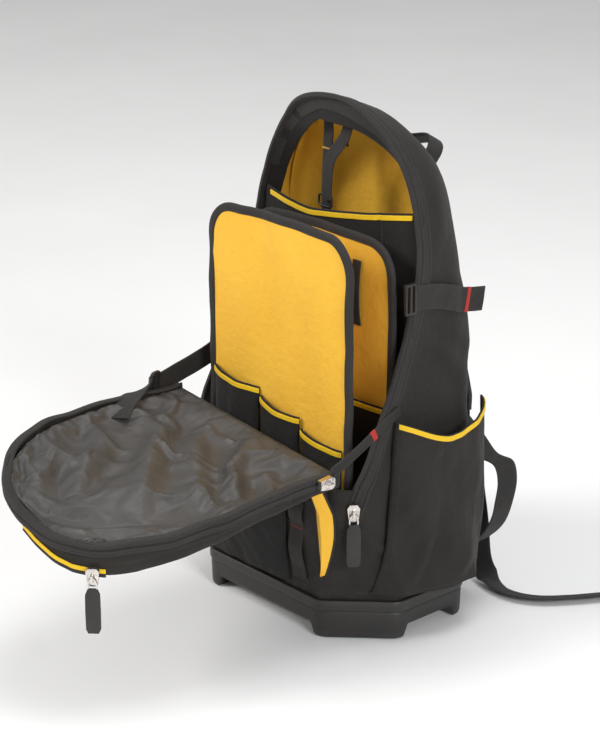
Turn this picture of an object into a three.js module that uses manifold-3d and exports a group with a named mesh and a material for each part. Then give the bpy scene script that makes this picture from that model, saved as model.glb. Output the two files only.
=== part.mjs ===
// A tool backpack that stands open: a moulded tray with four feet, a hollow fabric
// body with an arched top, a front flap folded down in front of it, two yellow
// divider panels with pockets, a rear pocket, side pockets, carrying straps and
// zip sliders with hanging pullers. Lengths are millimetres and +Z is up. The
// wearer's back is towards +Y and the opening faces -Y.
import * as THREE from 'three';
import { mergeVertices } from 'three/addons/utils/BufferGeometryUtils.js';
import Module from 'manifold-3d';

const wasm = await Module();
wasm.setup();

// Driving dimensions

const seamGap = 0.3;       // kept between pieces that are sewn or seated together
const clothWall = 2.5;     // body and flap fabric with its lining
const panelWall = 3;       // stiffened divider panels
const pocketWall = 2;      // single pocket fabric
const webbing = { width: 32, thickness: 2 };

const tray = {
  halfWidth: 144.5, halfDepth: 103.5, chamfer: 58, rim: 44, wall: 3.2,
  floorThickness: 3, footHeight: 13, footReach: 14, footDepth: 36, bandHeight: 12, bandProud: 1.4,
};
const bag = {
  height: 541, halfWidth: 134, front: 105, back: 90, corner: 40,
  springHeight: 350, archPower: 2.3, ridgeDrop: 36, ridgeY: -12,
};
const opening = { sill: 176, tape: 12, tapeThickness: 3.4 };
const flap = {
  root: -110, length: 284, halfWidth: 123.7, rimHeight: 212.4, roll: 0.103, twist: 2.587, droop: 17, yaw: 11.8,
  archStart: 0.295, archPower: 2.13, tape: 11, tapeThickness: 3.2, sag: 10,
};
const divider = { halfWidth: 108, binding: 8, bindingThickness: 6, cornerRadius: 34 };
const frontDivider = { y: -80, top: 428, thickness: panelWall };
const backDivider = { y: -22, top: 412, thickness: panelWall };
const rearPocket = { y: 4, top: 425, bulge: 10 };
const sidePocket = { frontLow: -66, frontTop: -42, back: 84, top: 236, bulge: 28 };
const frontPocket = { halfWidth: 92, low: 50, top: 146, bulge: 11 };
const backPad = { halfWidth: 92, low: 62, top: 470, thickness: 9 };
const shoulder = { width: 54, thickness: 10 };
const piping = { width: 6, thickness: 1.6 };
const slider = { length: 18, width: 13, thickness: 6, bridge: 1.8, bridgeGap: 3.3, bridgeWidth: 2.4 };
const puller = { linkWidth: 10, linkBar: 1.5, linkLength: 17, gripWidth: 14, gripLength: 46, gripThickness: 3.6 };

// Small numeric helpers

const lerp = (a, b, t) => a + (b - a) * t;
const clamp01 = (t) => Math.min(1, Math.max(0, t));
const smooth = (t) => clamp01(t) ** 2 * (3 - 2 * clamp01(t));
const range = (count) => Array.from({ length: count }, (_, i) => i);
const vec = (x, y, z) => new THREE.Vector3(x, y, z);

// Value of a column of a table whose rows rise in their key column.
function column(rows, key, name, at) {
  let upper = rows.findIndex((row) => row[key] >= at);
  if (upper < 0) upper = rows.length - 1;
  const lower = Math.max(0, upper - 1);
  const span = rows[upper][key] - rows[lower][key] || 1;
  const t = clamp01((at - rows[lower][key]) / span);
  return lerp(rows[lower][name], rows[upper][name], t);
}

// Mesh builders

function meshGeometry(points, triangles) {
  const geometry = new THREE.BufferGeometry();
  geometry.setAttribute('position', new THREE.Float32BufferAttribute(points.flatMap((p) => [p.x, p.y, p.z]), 3));
  geometry.setIndex(triangles);
  const merged = mergeVertices(geometry, 1e-4);
  const index = [...merged.index.array];
  const kept = [];
  for (let i = 0; i < index.length; i += 3) {
    const [a, b, c] = index.slice(i, i + 3);
    if (a !== b && b !== c && c !== a) kept.push(a, b, c);
  }
  merged.setIndex(signedVolume(merged, kept) < 0 ? flipped(kept) : kept);
  return merged;
}

function signedVolume(geometry, index) {
  const at = (i) => new THREE.Vector3().fromBufferAttribute(geometry.attributes.position, i);
  let sum = 0;
  for (let i = 0; i < index.length; i += 3) {
    sum += at(index[i]).dot(at(index[i + 1]).cross(at(index[i + 2])));
  }
  return sum;
}

function flipped(index) {
  const out = [];
  for (let i = 0; i < index.length; i += 3) out.push(index[i], index[i + 2], index[i + 1]);
  return out;
}

// Closed body between two surfaces given on the same grid of u and v from 0 to 1.
function slab(outer, inner, nu, nv, closedU = false) {
  const points = [];
  const triangles = [];
  const columns = closedU ? nu : nu + 1;
  const surface = [outer, inner];
  for (const side of surface) {
    for (const i of range(columns)) for (const j of range(nv + 1)) points.push(side(i / nu, j / nv));
  }
  const id = (side, i, j) => side * columns * (nv + 1) + (i % columns) * (nv + 1) + j;
  const quad = (a, b, c, d) => triangles.push(a, b, c, a, c, d);
  for (const i of range(nu)) {
    for (const j of range(nv)) {
      quad(id(0, i, j), id(0, i + 1, j), id(0, i + 1, j + 1), id(0, i, j + 1));
      quad(id(1, i, j), id(1, i, j + 1), id(1, i + 1, j + 1), id(1, i + 1, j));
    }
    quad(id(0, i, 0), id(1, i, 0), id(1, i + 1, 0), id(0, i + 1, 0));
    quad(id(0, i, nv), id(0, i + 1, nv), id(1, i + 1, nv), id(1, i, nv));
  }
  if (!closedU) {
    for (const j of range(nv)) {
      quad(id(0, 0, j), id(0, 0, j + 1), id(1, 0, j + 1), id(1, 0, j));
      quad(id(0, nu, j), id(1, nu, j), id(1, nu, j + 1), id(0, nu, j + 1));
    }
  }
  return meshGeometry(points, triangles);
}

// Closed body through loops of points with equal counts, capped by strips between mirrored stations.
function loft(loops) {
  const count = loops[0].length;
  const triangles = [];
  const id = (k, i) => k * count + (i % count);
  const quad = (a, b, c, d) => triangles.push(a, b, c, a, c, d);
  for (const k of range(loops.length - 1)) {
    for (const i of range(count)) quad(id(k, i), id(k, i + 1), id(k + 1, i + 1), id(k + 1, i));
  }
  const last = loops.length - 1;
  for (const i of range(count / 2 - 1)) {
    quad(id(0, i), id(0, count - 1 - i), id(0, count - 2 - i), id(0, i + 1));
    quad(id(last, i), id(last, i + 1), id(last, count - 2 - i), id(last, count - 1 - i));
  }
  return meshGeometry(loops.flat(), triangles);
}

// Flat strip of webbing or tape: stations hold the middle point, the width direction and the face normal.
function ribbon(stations, width, thickness) {
  const loops = stations.map(({ at, across, normal }) => {
    const w = across.clone().normalize().multiplyScalar(width / 2);
    const n = normal.clone().normalize().multiplyScalar(thickness / 2);
    return [
      at.clone().sub(w).sub(n), at.clone().add(w).sub(n), at.clone().add(w).add(n), at.clone().sub(w).add(n),
    ];
  });
  return loft(loops);
}

// Stations along a smooth curve, turned so that the width lies as near as it can along the hint at each place.
function stationsAlong(points, count, widthHint) {
  const curve = new THREE.CatmullRomCurve3(points, false, 'centripetal');
  return range(count + 1).map((i) => {
    const t = i / count;
    const tangent = curve.getTangentAt(t);
    const hint = widthHint(t).clone();
    const across = hint.sub(tangent.clone().multiplyScalar(hint.dot(tangent))).normalize();
    return { at: curve.getPointAt(t), across, normal: tangent.clone().cross(across).normalize() };
  });
}

function strap(points, count, widthHint, width = webbing.width, thickness = webbing.thickness) {
  return ribbon(stationsAlong(points, count, widthHint), width, thickness);
}

function cleaned(geometry) {
  geometry.deleteAttribute('normal');
  geometry.deleteAttribute('uv');
  return mergeVertices(geometry, 1e-4);
}

function prism(outline, depth, holes = []) {
  const shape = new THREE.Shape(outline.map(([x, y]) => new THREE.Vector2(x, y)));
  shape.holes = holes.map((hole) => new THREE.Path(hole.map(([x, y]) => new THREE.Vector2(x, y))));
  return cleaned(new THREE.ExtrudeGeometry(shape, { depth, bevelEnabled: false }));
}

function box(x, y, z, at = [0, 0, 0]) {
  return cleaned(new THREE.BoxGeometry(x, y, z)).translate(...at);
}

function toManifold(geometry) {
  return new wasm.Manifold(new wasm.Mesh({
    numProp: 3,
    vertProperties: new Float32Array(geometry.attributes.position.array),
    triVerts: new Uint32Array(geometry.index.array),
  }));
}

function fromManifold(manifold) {
  const mesh = manifold.getMesh();
  const geometry = new THREE.BufferGeometry();
  geometry.setAttribute('position', new THREE.Float32BufferAttribute(Float32Array.from(mesh.vertProperties), 3));
  geometry.setIndex([...mesh.triVerts]);
  return geometry;
}

function joined(...geometries) {
  return fromManifold(geometries.map(toManifold).reduce((a, b) => a.add(b)));
}

function cut(geometry, ...tools) {
  return fromManifold(tools.map(toManifold).reduce((a, b) => a.subtract(b), toManifold(geometry)));
}

function kept(geometry, tool) {
  return fromManifold(toManifold(geometry).intersect(toManifold(tool)));
}

// Finishes: colour, roughness, metalness

const finishes = {
  nylon: [0x2b2826, 0.86, 0],
  lining: [0x4a4744, 0.6, 0],
  yellow: [0xf2b230, 0.75, 0],
  tape: [0x262423, 0.8, 0],
  rubber: [0x2f2c2a, 0.7, 0],
  mesh: [0x1f1d1c, 0.9, 0],
  plastic: [0x2a2827, 0.45, 0],
  metal: [0xc9c2ba, 0.3, 0.9],
  red: [0xa02a2e, 0.7, 0],
};

const part = new THREE.Group();
const bagFrame = new THREE.Group();
part.add(bagFrame);

function add(name, geometry, finish) {
  const [color, roughness, metalness] = finishes[finish];
  const mesh = new THREE.Mesh(geometry, new THREE.MeshStandardMaterial({ color, roughness, metalness }));
  mesh.name = name;
  bagFrame.add(mesh);
  return mesh;
}

// The moulded tray: an eight-sided boot with a raised band round its rim and a foot under each corner

function trayOutline(offset) {
  const w = tray.halfWidth + offset;
  const d = tray.halfDepth + offset;
  const c = tray.chamfer + offset * (2 - Math.SQRT2);
  return [[-w, -d + c], [-w + c, -d], [w - c, -d], [w, -d + c], [w, d - c], [w - c, d], [-w + c, d], [-w, d - c]];
}

function trayFoot(sx, sy) {
  const { halfWidth: w, halfDepth: d, chamfer: c, footReach: r, footDepth: f } = tray;
  const corner = [
    [w, d - c - r], [w, d - c], [w - c, d], [w - c - r, d], [w - c - r, d - f], [w - f, d - c - r],
  ];
  const placed = corner.map(([x, y]) => [x * sx, y * sy]);
  return prism(sx * sy > 0 ? placed : placed.reverse(), tray.footHeight + tray.floorThickness / 2);
}

function trayGeometry() {
  const wallHeight = tray.rim - tray.footHeight;
  const shell = prism(trayOutline(0), wallHeight).translate(0, 0, tray.footHeight);
  const band = prism(trayOutline(tray.bandProud), tray.bandHeight).translate(0, 0, tray.rim - tray.bandHeight);
  const hollow = prism(trayOutline(-tray.wall), wallHeight).translate(0, 0, trayFloorTop);
  const feet = [[1, 1], [-1, 1], [1, -1], [-1, -1]].map(([sx, sy]) => trayFoot(sx, sy));
  return cut(joined(shell, band, ...feet), hollow);
}

const trayFloorTop = tray.footHeight + tray.floorThickness;
add('base_tray', trayGeometry(), 'rubber');

// The body: sections across its depth, each an outline of the sides and the arched top.
// Shares: height of the way from the tray's rim to the top, the rest of the bag's own sizes.

const bodyRows = [
  { height: 0, half: 1.045, front: 0.955, back: 1.11, corner: 1.4, round: 0 },
  { height: 0.05, half: 1.03, front: 0.985, back: 1.1, corner: 1.38, round: 0.3 },
  { height: 0.12, half: 1.01, front: 1.01, back: 1.07, corner: 1.25, round: 0.65 },
  { height: 0.26, half: 0.978, front: 1, back: 1.02, corner: 1, round: 1 },
  { height: 0.38, half: 0.955, front: 1, back: 0.97, corner: 0.85, round: 1 },
  { height: 0.5, half: 0.94, front: 1, back: 0.9, corner: 0.75, round: 1 },
  { height: 0.66, half: 0.93, front: 1, back: 0.86, corner: 0.7, round: 1 },
  { height: 0.8, half: 0.92, front: 1, back: 0.845, corner: 0.7, round: 1 },
  { height: 1, half: 0.92, front: 1, back: 0.84, corner: 0.7, round: 1 },
];
const bodyFloor = trayFloorTop + seamGap;
const spring = bag.springHeight;

function bodyShare(z, name) {
  return column(bodyRows, 'height', name, (z - tray.rim) / (bag.height - tray.rim));
}

// Sizes of the body at a height, drawn in by the distance inset. Inside the tray it follows the tray.
function bodyAt(z, inset = 0) {
  const inTray = z <= tray.rim;
  const half = inTray ? tray.halfWidth - tray.wall - seamGap : bag.halfWidth * bodyShare(z, 'half');
  const front = inTray ? tray.halfDepth - tray.wall - seamGap : bag.front * bodyShare(z, 'front');
  const back = inTray ? tray.halfDepth - tray.wall - seamGap : bag.back * bodyShare(z, 'back');
  const corner = inTray ? tray.chamfer - tray.wall * (2 - Math.SQRT2) : bag.corner * bodyShare(z, 'corner');
  return {
    half: half - inset,
    front: -front + inset,
    back: back - inset,
    corner: corner - inset * (2 - Math.SQRT2),
    round: inTray ? 0 : bodyShare(z, 'round'),
  };
}

function ridgeHeight(y, inset = 0) {
  const drop = bag.ridgeDrop * clamp01((y - bag.ridgeY) / (bag.back * 0.78 - bag.ridgeY));
  return bag.height - drop - inset;
}

// How far a corner has drawn in at the share t of its size from the face: a chamfer that turns into an arc.
function cornerInset(t, round) {
  const chamferShape = 1 - t;
  const arcShape = 1 - Math.sqrt(Math.max(0, 1 - (1 - t) ** 2));
  return lerp(chamferShape, arcShape, round);
}

const sideHeights = [0, 0.045, 0.1, 0.2, 0.32, 0.44, 0.56, 0.68, 0.8, 0.9, 1];
const archSteps = 9;
const cornerShares = [0, 0.1, 0.3, 0.6, 1];

// Outline stations from the right foot of the body, over the arch, to its left foot.
function bodyStations(bottom) {
  const low = [bottom, tray.rim - 1, ...sideHeights.slice(1).map((h) => lerp(tray.rim, spring, h))];
  const side = low.map((z) => ({ z, angle: 0 }));
  const arch = range(archSteps).slice(1).map((i) => ({ z: spring, angle: (i / archSteps) * (Math.PI / 2) }));
  const right = [...side, ...arch];
  return [...right.map((s) => ({ ...s, sign: 1 })), { z: spring, angle: Math.PI / 2 - 0.02, sign: 1 },
    { z: spring, angle: Math.PI / 2 - 0.02, sign: -1 }, ...right.reverse().map((s) => ({ ...s, sign: -1 }))];
}

function archPoint(half, rise, angle) {
  const power = 2 / bag.archPower;
  return [half * Math.cos(angle) ** power, rise * Math.sin(angle) ** power];
}

// A point of the body's surface: station of the outline, end -1 front or 1 back, share of the corner from that face.
function bodyPoint(station, end, share, inset) {
  const nominal = archPoint(1, bag.height - spring, station.angle);
  const z = station.angle > 0 ? spring + nominal[1] : station.z;
  const s = bodyAt(z, inset);
  const y = end < 0 ? s.front + share * s.corner : s.back - share * s.corner;
  const drawn = s.corner * cornerInset(share, s.round);
  if (station.angle === 0) return vec(station.sign * (s.half - drawn), y, station.z);
  const [x, rise] = archPoint(s.half - drawn, ridgeHeight(y, inset) - drawn - spring, station.angle);
  return vec(station.sign * x, y, spring + rise);
}

const middleShares = [0.2, 0.5, 0.8];

// A point of the body between its two corner zones, at a share of the way from the front zone to the back zone.
function middlePoint(station, share, inset) {
  const front = bodyPoint(station, -1, 1, inset);
  const back = bodyPoint(station, 1, 1, inset);
  const at = front.clone().lerp(back, share);
  if (station.angle === 0) return at;
  const s = bodyAt(at.z, inset);
  const [, rise] = archPoint(s.half, ridgeHeight(at.y, inset) - spring, station.angle);
  return vec(at.x, at.y, spring + rise);
}

function bodySolid(inset) {
  const stations = bodyStations(bodyFloor + inset);
  const front = cornerShares.map((t) => stations.map((s) => bodyPoint(s, -1, t, inset)));
  const middle = middleShares.map((t) => stations.map((s) => middlePoint(s, t, inset)));
  const back = cornerShares.map((t) => stations.map((s) => bodyPoint(s, 1, t, inset))).reverse();
  return loft([...front, ...middle, ...back]);
}

// How far out the body's side stands at a place.
function sideX(y, z, inset = 0) {
  const s = bodyAt(z, inset);
  const share = clamp01(Math.min(y - s.front, s.back - y) / s.corner);
  const drawn = s.corner * cornerInset(share, s.round);
  if (z <= spring) return s.half - drawn;
  const rise = ridgeHeight(y, inset) - drawn - spring;
  const sine = clamp01((z - spring) / rise) ** (bag.archPower / 2);
  return (s.half - drawn) * Math.sqrt(1 - sine ** 2) ** (2 / bag.archPower);
}

// The opening's outer edge on the side of the body: how far forward the zip tape stands at each height.
// Shares: height of the way from the sill to the top, reach of the body's front depth.
const openingRows = [
  { height: -0.08, reach: 0.93 },
  { height: 0, reach: 0.86 },
  { height: 0.126, reach: 0.64 },
  { height: 0.268, reach: 0.4 },
  { height: 0.386, reach: 0.225 },
  { height: 0.52, reach: 0.09 },
  { height: 0.63, reach: 0.03 },
  { height: 0.73, reach: 0 },
  { height: 0.83, reach: 0.01 },
  { height: 0.9, reach: 0.03 },
  { height: 1, reach: 0.12 },
];
const openingSpan = bag.height - opening.sill;

function openingY(z) {
  return -bag.front * column(openingRows, 'height', 'reach', (z - opening.sill) / openingSpan);
}

// The same edge moved back into the body by a distance, in the plane of the side.
function openingProfile(offset) {
  const edge = openingRows.map(({ height, reach }) => [-bag.front * reach, opening.sill + height * openingSpan]);
  return edge.map(([y, z], i) => {
    const [y0, z0] = edge[Math.max(0, i - 1)];
    const [y1, z1] = edge[Math.min(edge.length - 1, i + 1)];
    const run = Math.hypot(y1 - y0, z1 - z0);
    return [y + ((z1 - z0) / run) * offset, z - ((y1 - y0) / run) * offset];
  });
}

// A prism right across the bag whose outline is given in the plane of its side.
function acrossBag(outline) {
  const width = 4 * bag.halfWidth;
  const turned = new THREE.Matrix4().makeBasis(vec(0, 1, 0), vec(0, 0, 1), vec(1, 0, 0));
  return prism(outline, width).applyMatrix4(turned).translate(-width / 2, 0, 0);
}

function openingCutter() {
  const edge = openingProfile(opening.tape / 2);
  const reach = 3 * bag.front;
  const top = bag.height + reach;
  const last = edge[edge.length - 1];
  return acrossBag([[-reach, opening.sill], [edge[1][0], opening.sill], ...edge.slice(2), [last[0], top], [-reach, top]]);
}

// The band that the zip tape takes up, grown by a clearance.
function tapeBand(clearance) {
  const front = openingProfile(-clearance);
  const behind = openingProfile(opening.tape + clearance);
  front[0][1] -= clearance;
  behind[0][1] = front[0][1];
  const top = bag.height + opening.tape;
  return acrossBag([...front, [front[front.length - 1][0], top], [behind[behind.length - 1][0], top], ...behind.reverse()]);
}

const bodyOuter = bodySolid(0);
const bodyInner = bodySolid(clothWall);
const bodyGrown = bodySolid(-seamGap);
const tapeSkin = (opening.tapeThickness - clothWall) / 2;
const bodyRoom = bodySolid(clothWall + tapeSkin + seamGap);
const tapeGrown = bodySolid(-tapeSkin - seamGap);
add('body_shell', cut(bodyOuter, bodyInner, openingCutter(), tapeBand(seamGap)), 'nylon');
add('opening_zip_tape', kept(cut(bodySolid(-tapeSkin), bodySolid(clothWall + tapeSkin)), tapeBand(0)), 'tape');

// Keeps a piece clear of the outside of the body, or inside its room.
const onBody = (geometry) => cut(geometry, bodyGrown);
const inBody = (geometry) => kept(geometry, bodyRoom);

// A stiff board under the inner floor and the yellow lining of the back wall.
const boardTop = bodyFloor + clothWall + 4;
add('floor_board', inBody(prism(trayOutline(-tray.wall - 1), boardTop - bodyFloor).translate(0, 0, bodyFloor)), 'plastic');
const liningLow = 60;
function liningFace(u, v, back) {
  const inset = clothWall + tapeSkin + seamGap + 0.4 + (back ? 0 : 1.4);
  const z = lerp(liningLow, 496, v);
  const s = bodyAt(z, inset);
  const half = sideX(s.back - s.corner, z, inset) - 1.5;
  const x = half * Math.sin((lerp(-1, 1, u) * Math.PI) / 2);
  const tx = clamp01((Math.abs(x) - (half - s.corner)) / s.corner);
  const tz = clamp01((z - (ridgeHeight(s.back, inset) - s.corner)) / s.corner);
  return vec(x, s.back - s.corner * (1 - Math.sqrt(Math.max(0, 1 - tx * tx - tz * tz))), z);
}
add('back_lining', inBody(slab((u, v) => liningFace(u, v, false), (u, v) => liningFace(u, v, true), 8, 7)), 'yellow');

// Flat panels that stand across the inside: outline with round upper corners and drawn in lower corners

function panelOutline({ half, low, top, radius, lowHalf, lowRise, crown }, offset) {
  const r = radius - offset;
  const w = half - offset;
  const z = top - offset;
  const arc = range(6).map((i) => {
    const angle = (i / 5) * (Math.PI / 2);
    return [w - r + r * Math.cos(angle), z - crown - r + r * Math.sin(angle)];
  });
  const right = [[lowHalf - offset, low], [w, low + lowRise], ...arc, [(w - r) / 2, z - crown / 4]];
  const left = right.map(([x, height]) => [-x, height]).reverse();
  return [...right, [0, z], ...left];
}

function standing(outline, y, thickness) {
  const turned = new THREE.Matrix4().makeRotationX(Math.PI / 2);
  return prism(outline, thickness).applyMatrix4(turned).translate(0, y + thickness / 2, 0);
}

const panelLow = boardTop + seamGap;
function panelSizes(top) {
  return {
    half: divider.halfWidth, low: panelLow, top, radius: divider.cornerRadius, lowHalf: 82, lowRise: 48, crown: 5,
  };
}

function addDivider(name, { y, top, thickness }) {
  const sizes = panelSizes(top);
  const reach = 3;
  add(name, standing(panelOutline(sizes, reach), y, thickness), 'yellow');
  const outer = standing(panelOutline(sizes, 0), y, divider.bindingThickness);
  const lowered = { ...sizes, low: sizes.low - 5 };
  const core = standing(panelOutline(lowered, divider.binding), y, divider.bindingThickness + 2);
  const slot = standing(panelOutline(lowered, reach - seamGap), y, thickness + 2 * seamGap);
  const above = box(600, 60, 900, [0, y, 450 + 110]);
  add(`${name}_binding`, kept(cut(outer, core, slot), above), 'tape');
}

addDivider('front_divider', frontDivider);
addDivider('rear_divider', backDivider);

// A slack pocket on the front of a panel: flat at its two sides and foot, standing out at its mouth.
function pocketSheet({ x0, x1, low, top0, top1, y, bulge, wall }, nu = 8, nv = 6) {
  const face = (u, v, back) => {
    const x = lerp(x0, x1, u);
    const z = lerp(low, lerp(top0, top1, u), v);
    const out = bulge * Math.sin(Math.PI * u) ** 0.7 * lerp(0.25, 1, smooth(v * 1.2));
    return vec(x, y - out - (back ? 0 : wall), z);
  };
  return slab((u, v) => face(u, v, false), (u, v) => face(u, v, true), nu, nv);
}

// The trim that runs along a pocket's mouth, just in front of its edge.
function pocketTrim({ x0, x1, top0, top1, y, bulge, wall }, count = 8) {
  const stations = range(count + 1).map((i) => {
    const u = i / count;
    const out = bulge * Math.sin(Math.PI * u) ** 0.7;
    const at = vec(lerp(x0, x1, u), y - out - wall - seamGap - piping.thickness / 2 - 0.2, lerp(top0, top1, u) - piping.width / 2 + 1);
    return { at, across: vec(0, 0, 1), normal: vec(0, -1, 0) };
  });
  return ribbon(stations, piping.width, piping.thickness);
}

const frontFace = frontDivider.y - frontDivider.thickness / 2 - seamGap;
const pockets = [
  { name: 'front_divider_pocket_left', x0: -98, x1: -27, low: 96, top0: 246, top1: 239, bulge: 9 },
  { name: 'front_divider_pocket_middle', x0: -25, x1: 35, low: 96, top0: 231, top1: 223, bulge: 9 },
  { name: 'front_divider_pocket_right', x0: 37, x1: 98, low: 96, top0: 212, top1: 205, bulge: 8 },
];
for (const pocket of pockets) {
  const sizes = { ...pocket, y: frontFace, wall: pocketWall };
  add(pocket.name, pocketSheet(sizes, 6, 4), 'nylon');
  add(`${pocket.name}_piping`, pocketTrim(sizes, 6), 'yellow');
}

const rearFace = backDivider.y - backDivider.thickness / 2 - seamGap;
const rearSizes = { x0: -98, x1: 98, low: 100, top0: 242, top1: 236, y: rearFace, bulge: 8, wall: pocketWall };
add('rear_divider_pocket', pocketSheet(rearSizes, 10, 4), 'nylon');
add('rear_divider_pocket_piping', pocketTrim(rearSizes, 10), 'yellow');
for (const [name, x, top, low] of [['rear_loop_left', -58, 398, 330], ['rear_loop_right', 56, 384, 316]]) {
  const y = rearFace - 1;
  const points = [vec(x, y, top), vec(x, y - 2.5, lerp(top, low, 0.3)), vec(x, y - 2.5, lerp(top, low, 0.7)), vec(x, y, low)];
  add(name, strap(points, 6, () => vec(1, 0, 0), 12, 1.6), 'tape');
}

// The rear pocket: a black panel right across the body whose mouth slopes, with a trimmed edge.
const mouthRows = [{ x: -125, z: 424 }, { x: -42, z: 414 }, { x: 11, z: 421 }, { x: 62, z: 429 }, { x: 125, z: 440 }];
const rearMouth = (x) => column(mouthRows, 'x', 'z', x);
function rearPocketY(x, z) {
  const across = Math.cos((clamp01(Math.abs(x) / 112) * Math.PI) / 2) ** 0.8;
  return rearPocket.y - rearPocket.bulge * across * smooth((z - 120) / 260);
}
function rearPocketSheet() {
  const face = (u, v, back) => {
    const x0 = lerp(-125, 125, u);
    const z = lerp(64, rearMouth(x0), v);
    return vec(x0, rearPocketY(x0, z) - (back ? 0 : pocketWall), z);
  };
  return inBody(slab((u, v) => face(u, v, false), (u, v) => face(u, v, true), 10, 6));
}
add('rear_pocket', cut(rearPocketSheet(), box(600, 60, 2 * liningLow, [0, 50, 0])), 'nylon');
const mouthHalf = 100;
add('rear_pocket_piping', ribbon(range(13).map((i) => {
  const x = lerp(-mouthHalf, mouthHalf, i / 12);
  const z = rearMouth(x) - piping.width / 2 + 1;
  const at = vec(x, rearPocketY(x, z) - pocketWall - seamGap - piping.thickness / 2 - 0.4, z);
  return { at, across: vec(0, 0, 1), normal: vec(0, -1, 0) };
}), piping.width, piping.thickness), 'yellow');

// Two straps that hang from the top of the opening and reach down into the rear pocket.
const hangY = rearPocket.y + 5;
const hangTop = 522;
add('top_strap_left', inBody(strap(
  [vec(-33, hangY + 9, hangTop + 8), vec(-33, hangY + 8, 490), vec(-31, hangY + 4, 440), vec(-31, hangY + 3, 398)],
  8, () => vec(1, 0, 0), 14, 1.8)), 'tape');
add('top_strap_right', inBody(strap(
  [vec(8, hangY + 4, hangTop + 8), vec(0, hangY + 1, 496), vec(-20, hangY - 1, 468), vec(-25, hangY - 1, 440), vec(-24, hangY - 2, 424)],
  10, () => vec(1, 0, 0), 14, 1.8)), 'tape');

// Side pockets

const pocketLow = 52;
function sidePocketFace(sign, u, v, back) {
  const front = lerp(sidePocket.frontLow, sidePocket.frontTop, v);
  const y = lerp(front, sidePocket.back, u);
  const dip = 22 * Math.sin(Math.PI * clamp01(u * 0.95)) ** 1.2;
  const z = lerp(pocketLow, sidePocket.top - dip * smooth(v), v);
  const round = (1 - Math.abs(2 * u - 1) ** 3.5) ** 0.7;
  const fullness = lerp(lerp(0.3, 0.92, smooth(u * 1.6)), 0.8, smooth(v * 1.4));
  const out = round * sidePocket.bulge * fullness;
  const base = sideX(Math.min(y, 62), z);
  return vec(sign * (base + 0.8 + out + (back ? 0 : pocketWall)), y, z);
}
function sidePocketGeometry(sign) {
  const sheet = slab((u, v) => sidePocketFace(sign, u, v, false), (u, v) => sidePocketFace(sign, u, v, true), 12, 6);
  const foot = slab((u, v) => {
    const p = sidePocketFace(sign, u, 0, false);
    return vec(lerp(sign * 90, p.x, v), p.y, p.z);
  }, (u, v) => {
    const p = sidePocketFace(sign, u, 0, false);
    return vec(lerp(sign * 90, p.x, v), p.y, p.z + pocketWall);
  }, 12, 1);
  return onBody(joined(sheet, foot));
}
function sidePocketTrim(sign) {
  return ribbon(range(15).map((i) => {
    const u = lerp(0.02, 0.98, i / 14);
    const p = sidePocketFace(sign, u, 1, false);
    const q = sidePocketFace(sign, Math.min(1, u + 0.02), 1, false);
    const w = sidePocketFace(sign, Math.max(0, u - 0.02), 1, false);
    const normal = vec(sign * (q.y - w.y), -sign * (q.x - w.x), 0).normalize();
    const lift = seamGap + piping.thickness / 2 + 0.6;
    return { at: p.clone().add(normal.clone().multiplyScalar(lift)).add(vec(0, 0, -piping.width / 2 + 1)), across: vec(0, 0, 1), normal };
  }), piping.width, piping.thickness);
}
for (const [side, sign] of [['right', 1], ['left', -1]]) {
  add(`side_pocket_${side}`, sidePocketGeometry(sign), 'nylon');
  add(`side_pocket_${side}_piping`, cut(sidePocketTrim(sign), sidePocketGeometry(sign), bodyGrown), 'yellow');
}

// Low on the front: a mesh pocket, a strip of webbing and the yellow gusset that opens beside it

const frontY = (z) => bodyAt(z).front;
function frontPocketFace(u, v, back) {
  const x = lerp(-frontPocket.halfWidth, 42, u);
  const z = lerp(frontPocket.low, frontPocket.top, v);
  const out = frontPocket.bulge * Math.sin(Math.PI * u) ** 0.6 * lerp(0.35, 1, smooth(1.3 * v));
  return vec(x, frontY(z) - 0.8 - out - (back ? 0 : pocketWall), z);
}
add('front_mesh_pocket', onBody(slab((u, v) => frontPocketFace(u, v, false), (u, v) => frontPocketFace(u, v, true), 8, 5)), 'mesh');
const loopLift = webbing.thickness / 2 + 0.8;
const webbingPath = [[147, 0], [134, 3], [118, 0], [96, 3], [72, 0]];
add('front_webbing', strap(webbingPath.map(([z, out]) => vec(58, frontY(z) - loopLift - out, z)), 12, () => vec(1, 0, 0), 20), 'tape');
function gussetFace(u, v, back) {
  const z = lerp(78, 149, v);
  const wide = 15 * Math.sin(Math.PI * lerp(0.08, 0.75, v)) ** 0.9;
  const x = lerp(97, 100, v) + lerp(-wide, wide, u) * 0.8;
  const s = bodyAt(z);
  const front = s.front + 0.9;
  const share = clamp01((s.half - x) / s.corner);
  const y = front + s.corner * (1 - Math.sqrt(Math.max(0, 1 - (1 - share) ** 2)));
  return vec(x, y - 1.9 - 5 * Math.sin(Math.PI * u) - (back ? 0 : 1.6), z);
}
add('front_gusset', onBody(slab((u, v) => gussetFace(u, v, false), (u, v) => gussetFace(u, v, true), 6, 8)), 'yellow');

// The flap: a shallow dish that hangs forward from the sill, rolled a little to the right.
// Its outline runs from the right root round the tip to the left root; u goes from 0 to 1.

const flapJoin = 0.76;
function flapOutline(u, inset) {
  const straight = flap.length * flap.archStart;
  const round = flap.length - straight - inset;
  const half = flap.halfWidth - inset;
  const t = Math.abs(2 * u - 1);
  const sign = u < 0.5 ? 1 : -1;
  if (t > flapJoin) return [sign * half, (straight * (1 - t)) / (1 - flapJoin), [sign, 0]];
  const angle = (Math.PI / 2) * (1 - t / flapJoin);
  const power = 2 / flap.archPower;
  const x = half * Math.cos(angle) ** power;
  const y = round * Math.sin(angle) ** power;
  const nx = Math.cos(angle) ** (2 - power) / half;
  const ny = Math.sin(angle) ** (2 - power) / round;
  const size = Math.hypot(nx, ny);
  return [sign * Math.max(0, x), straight + y, [(sign * nx) / size, ny / size]];
}

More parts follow.
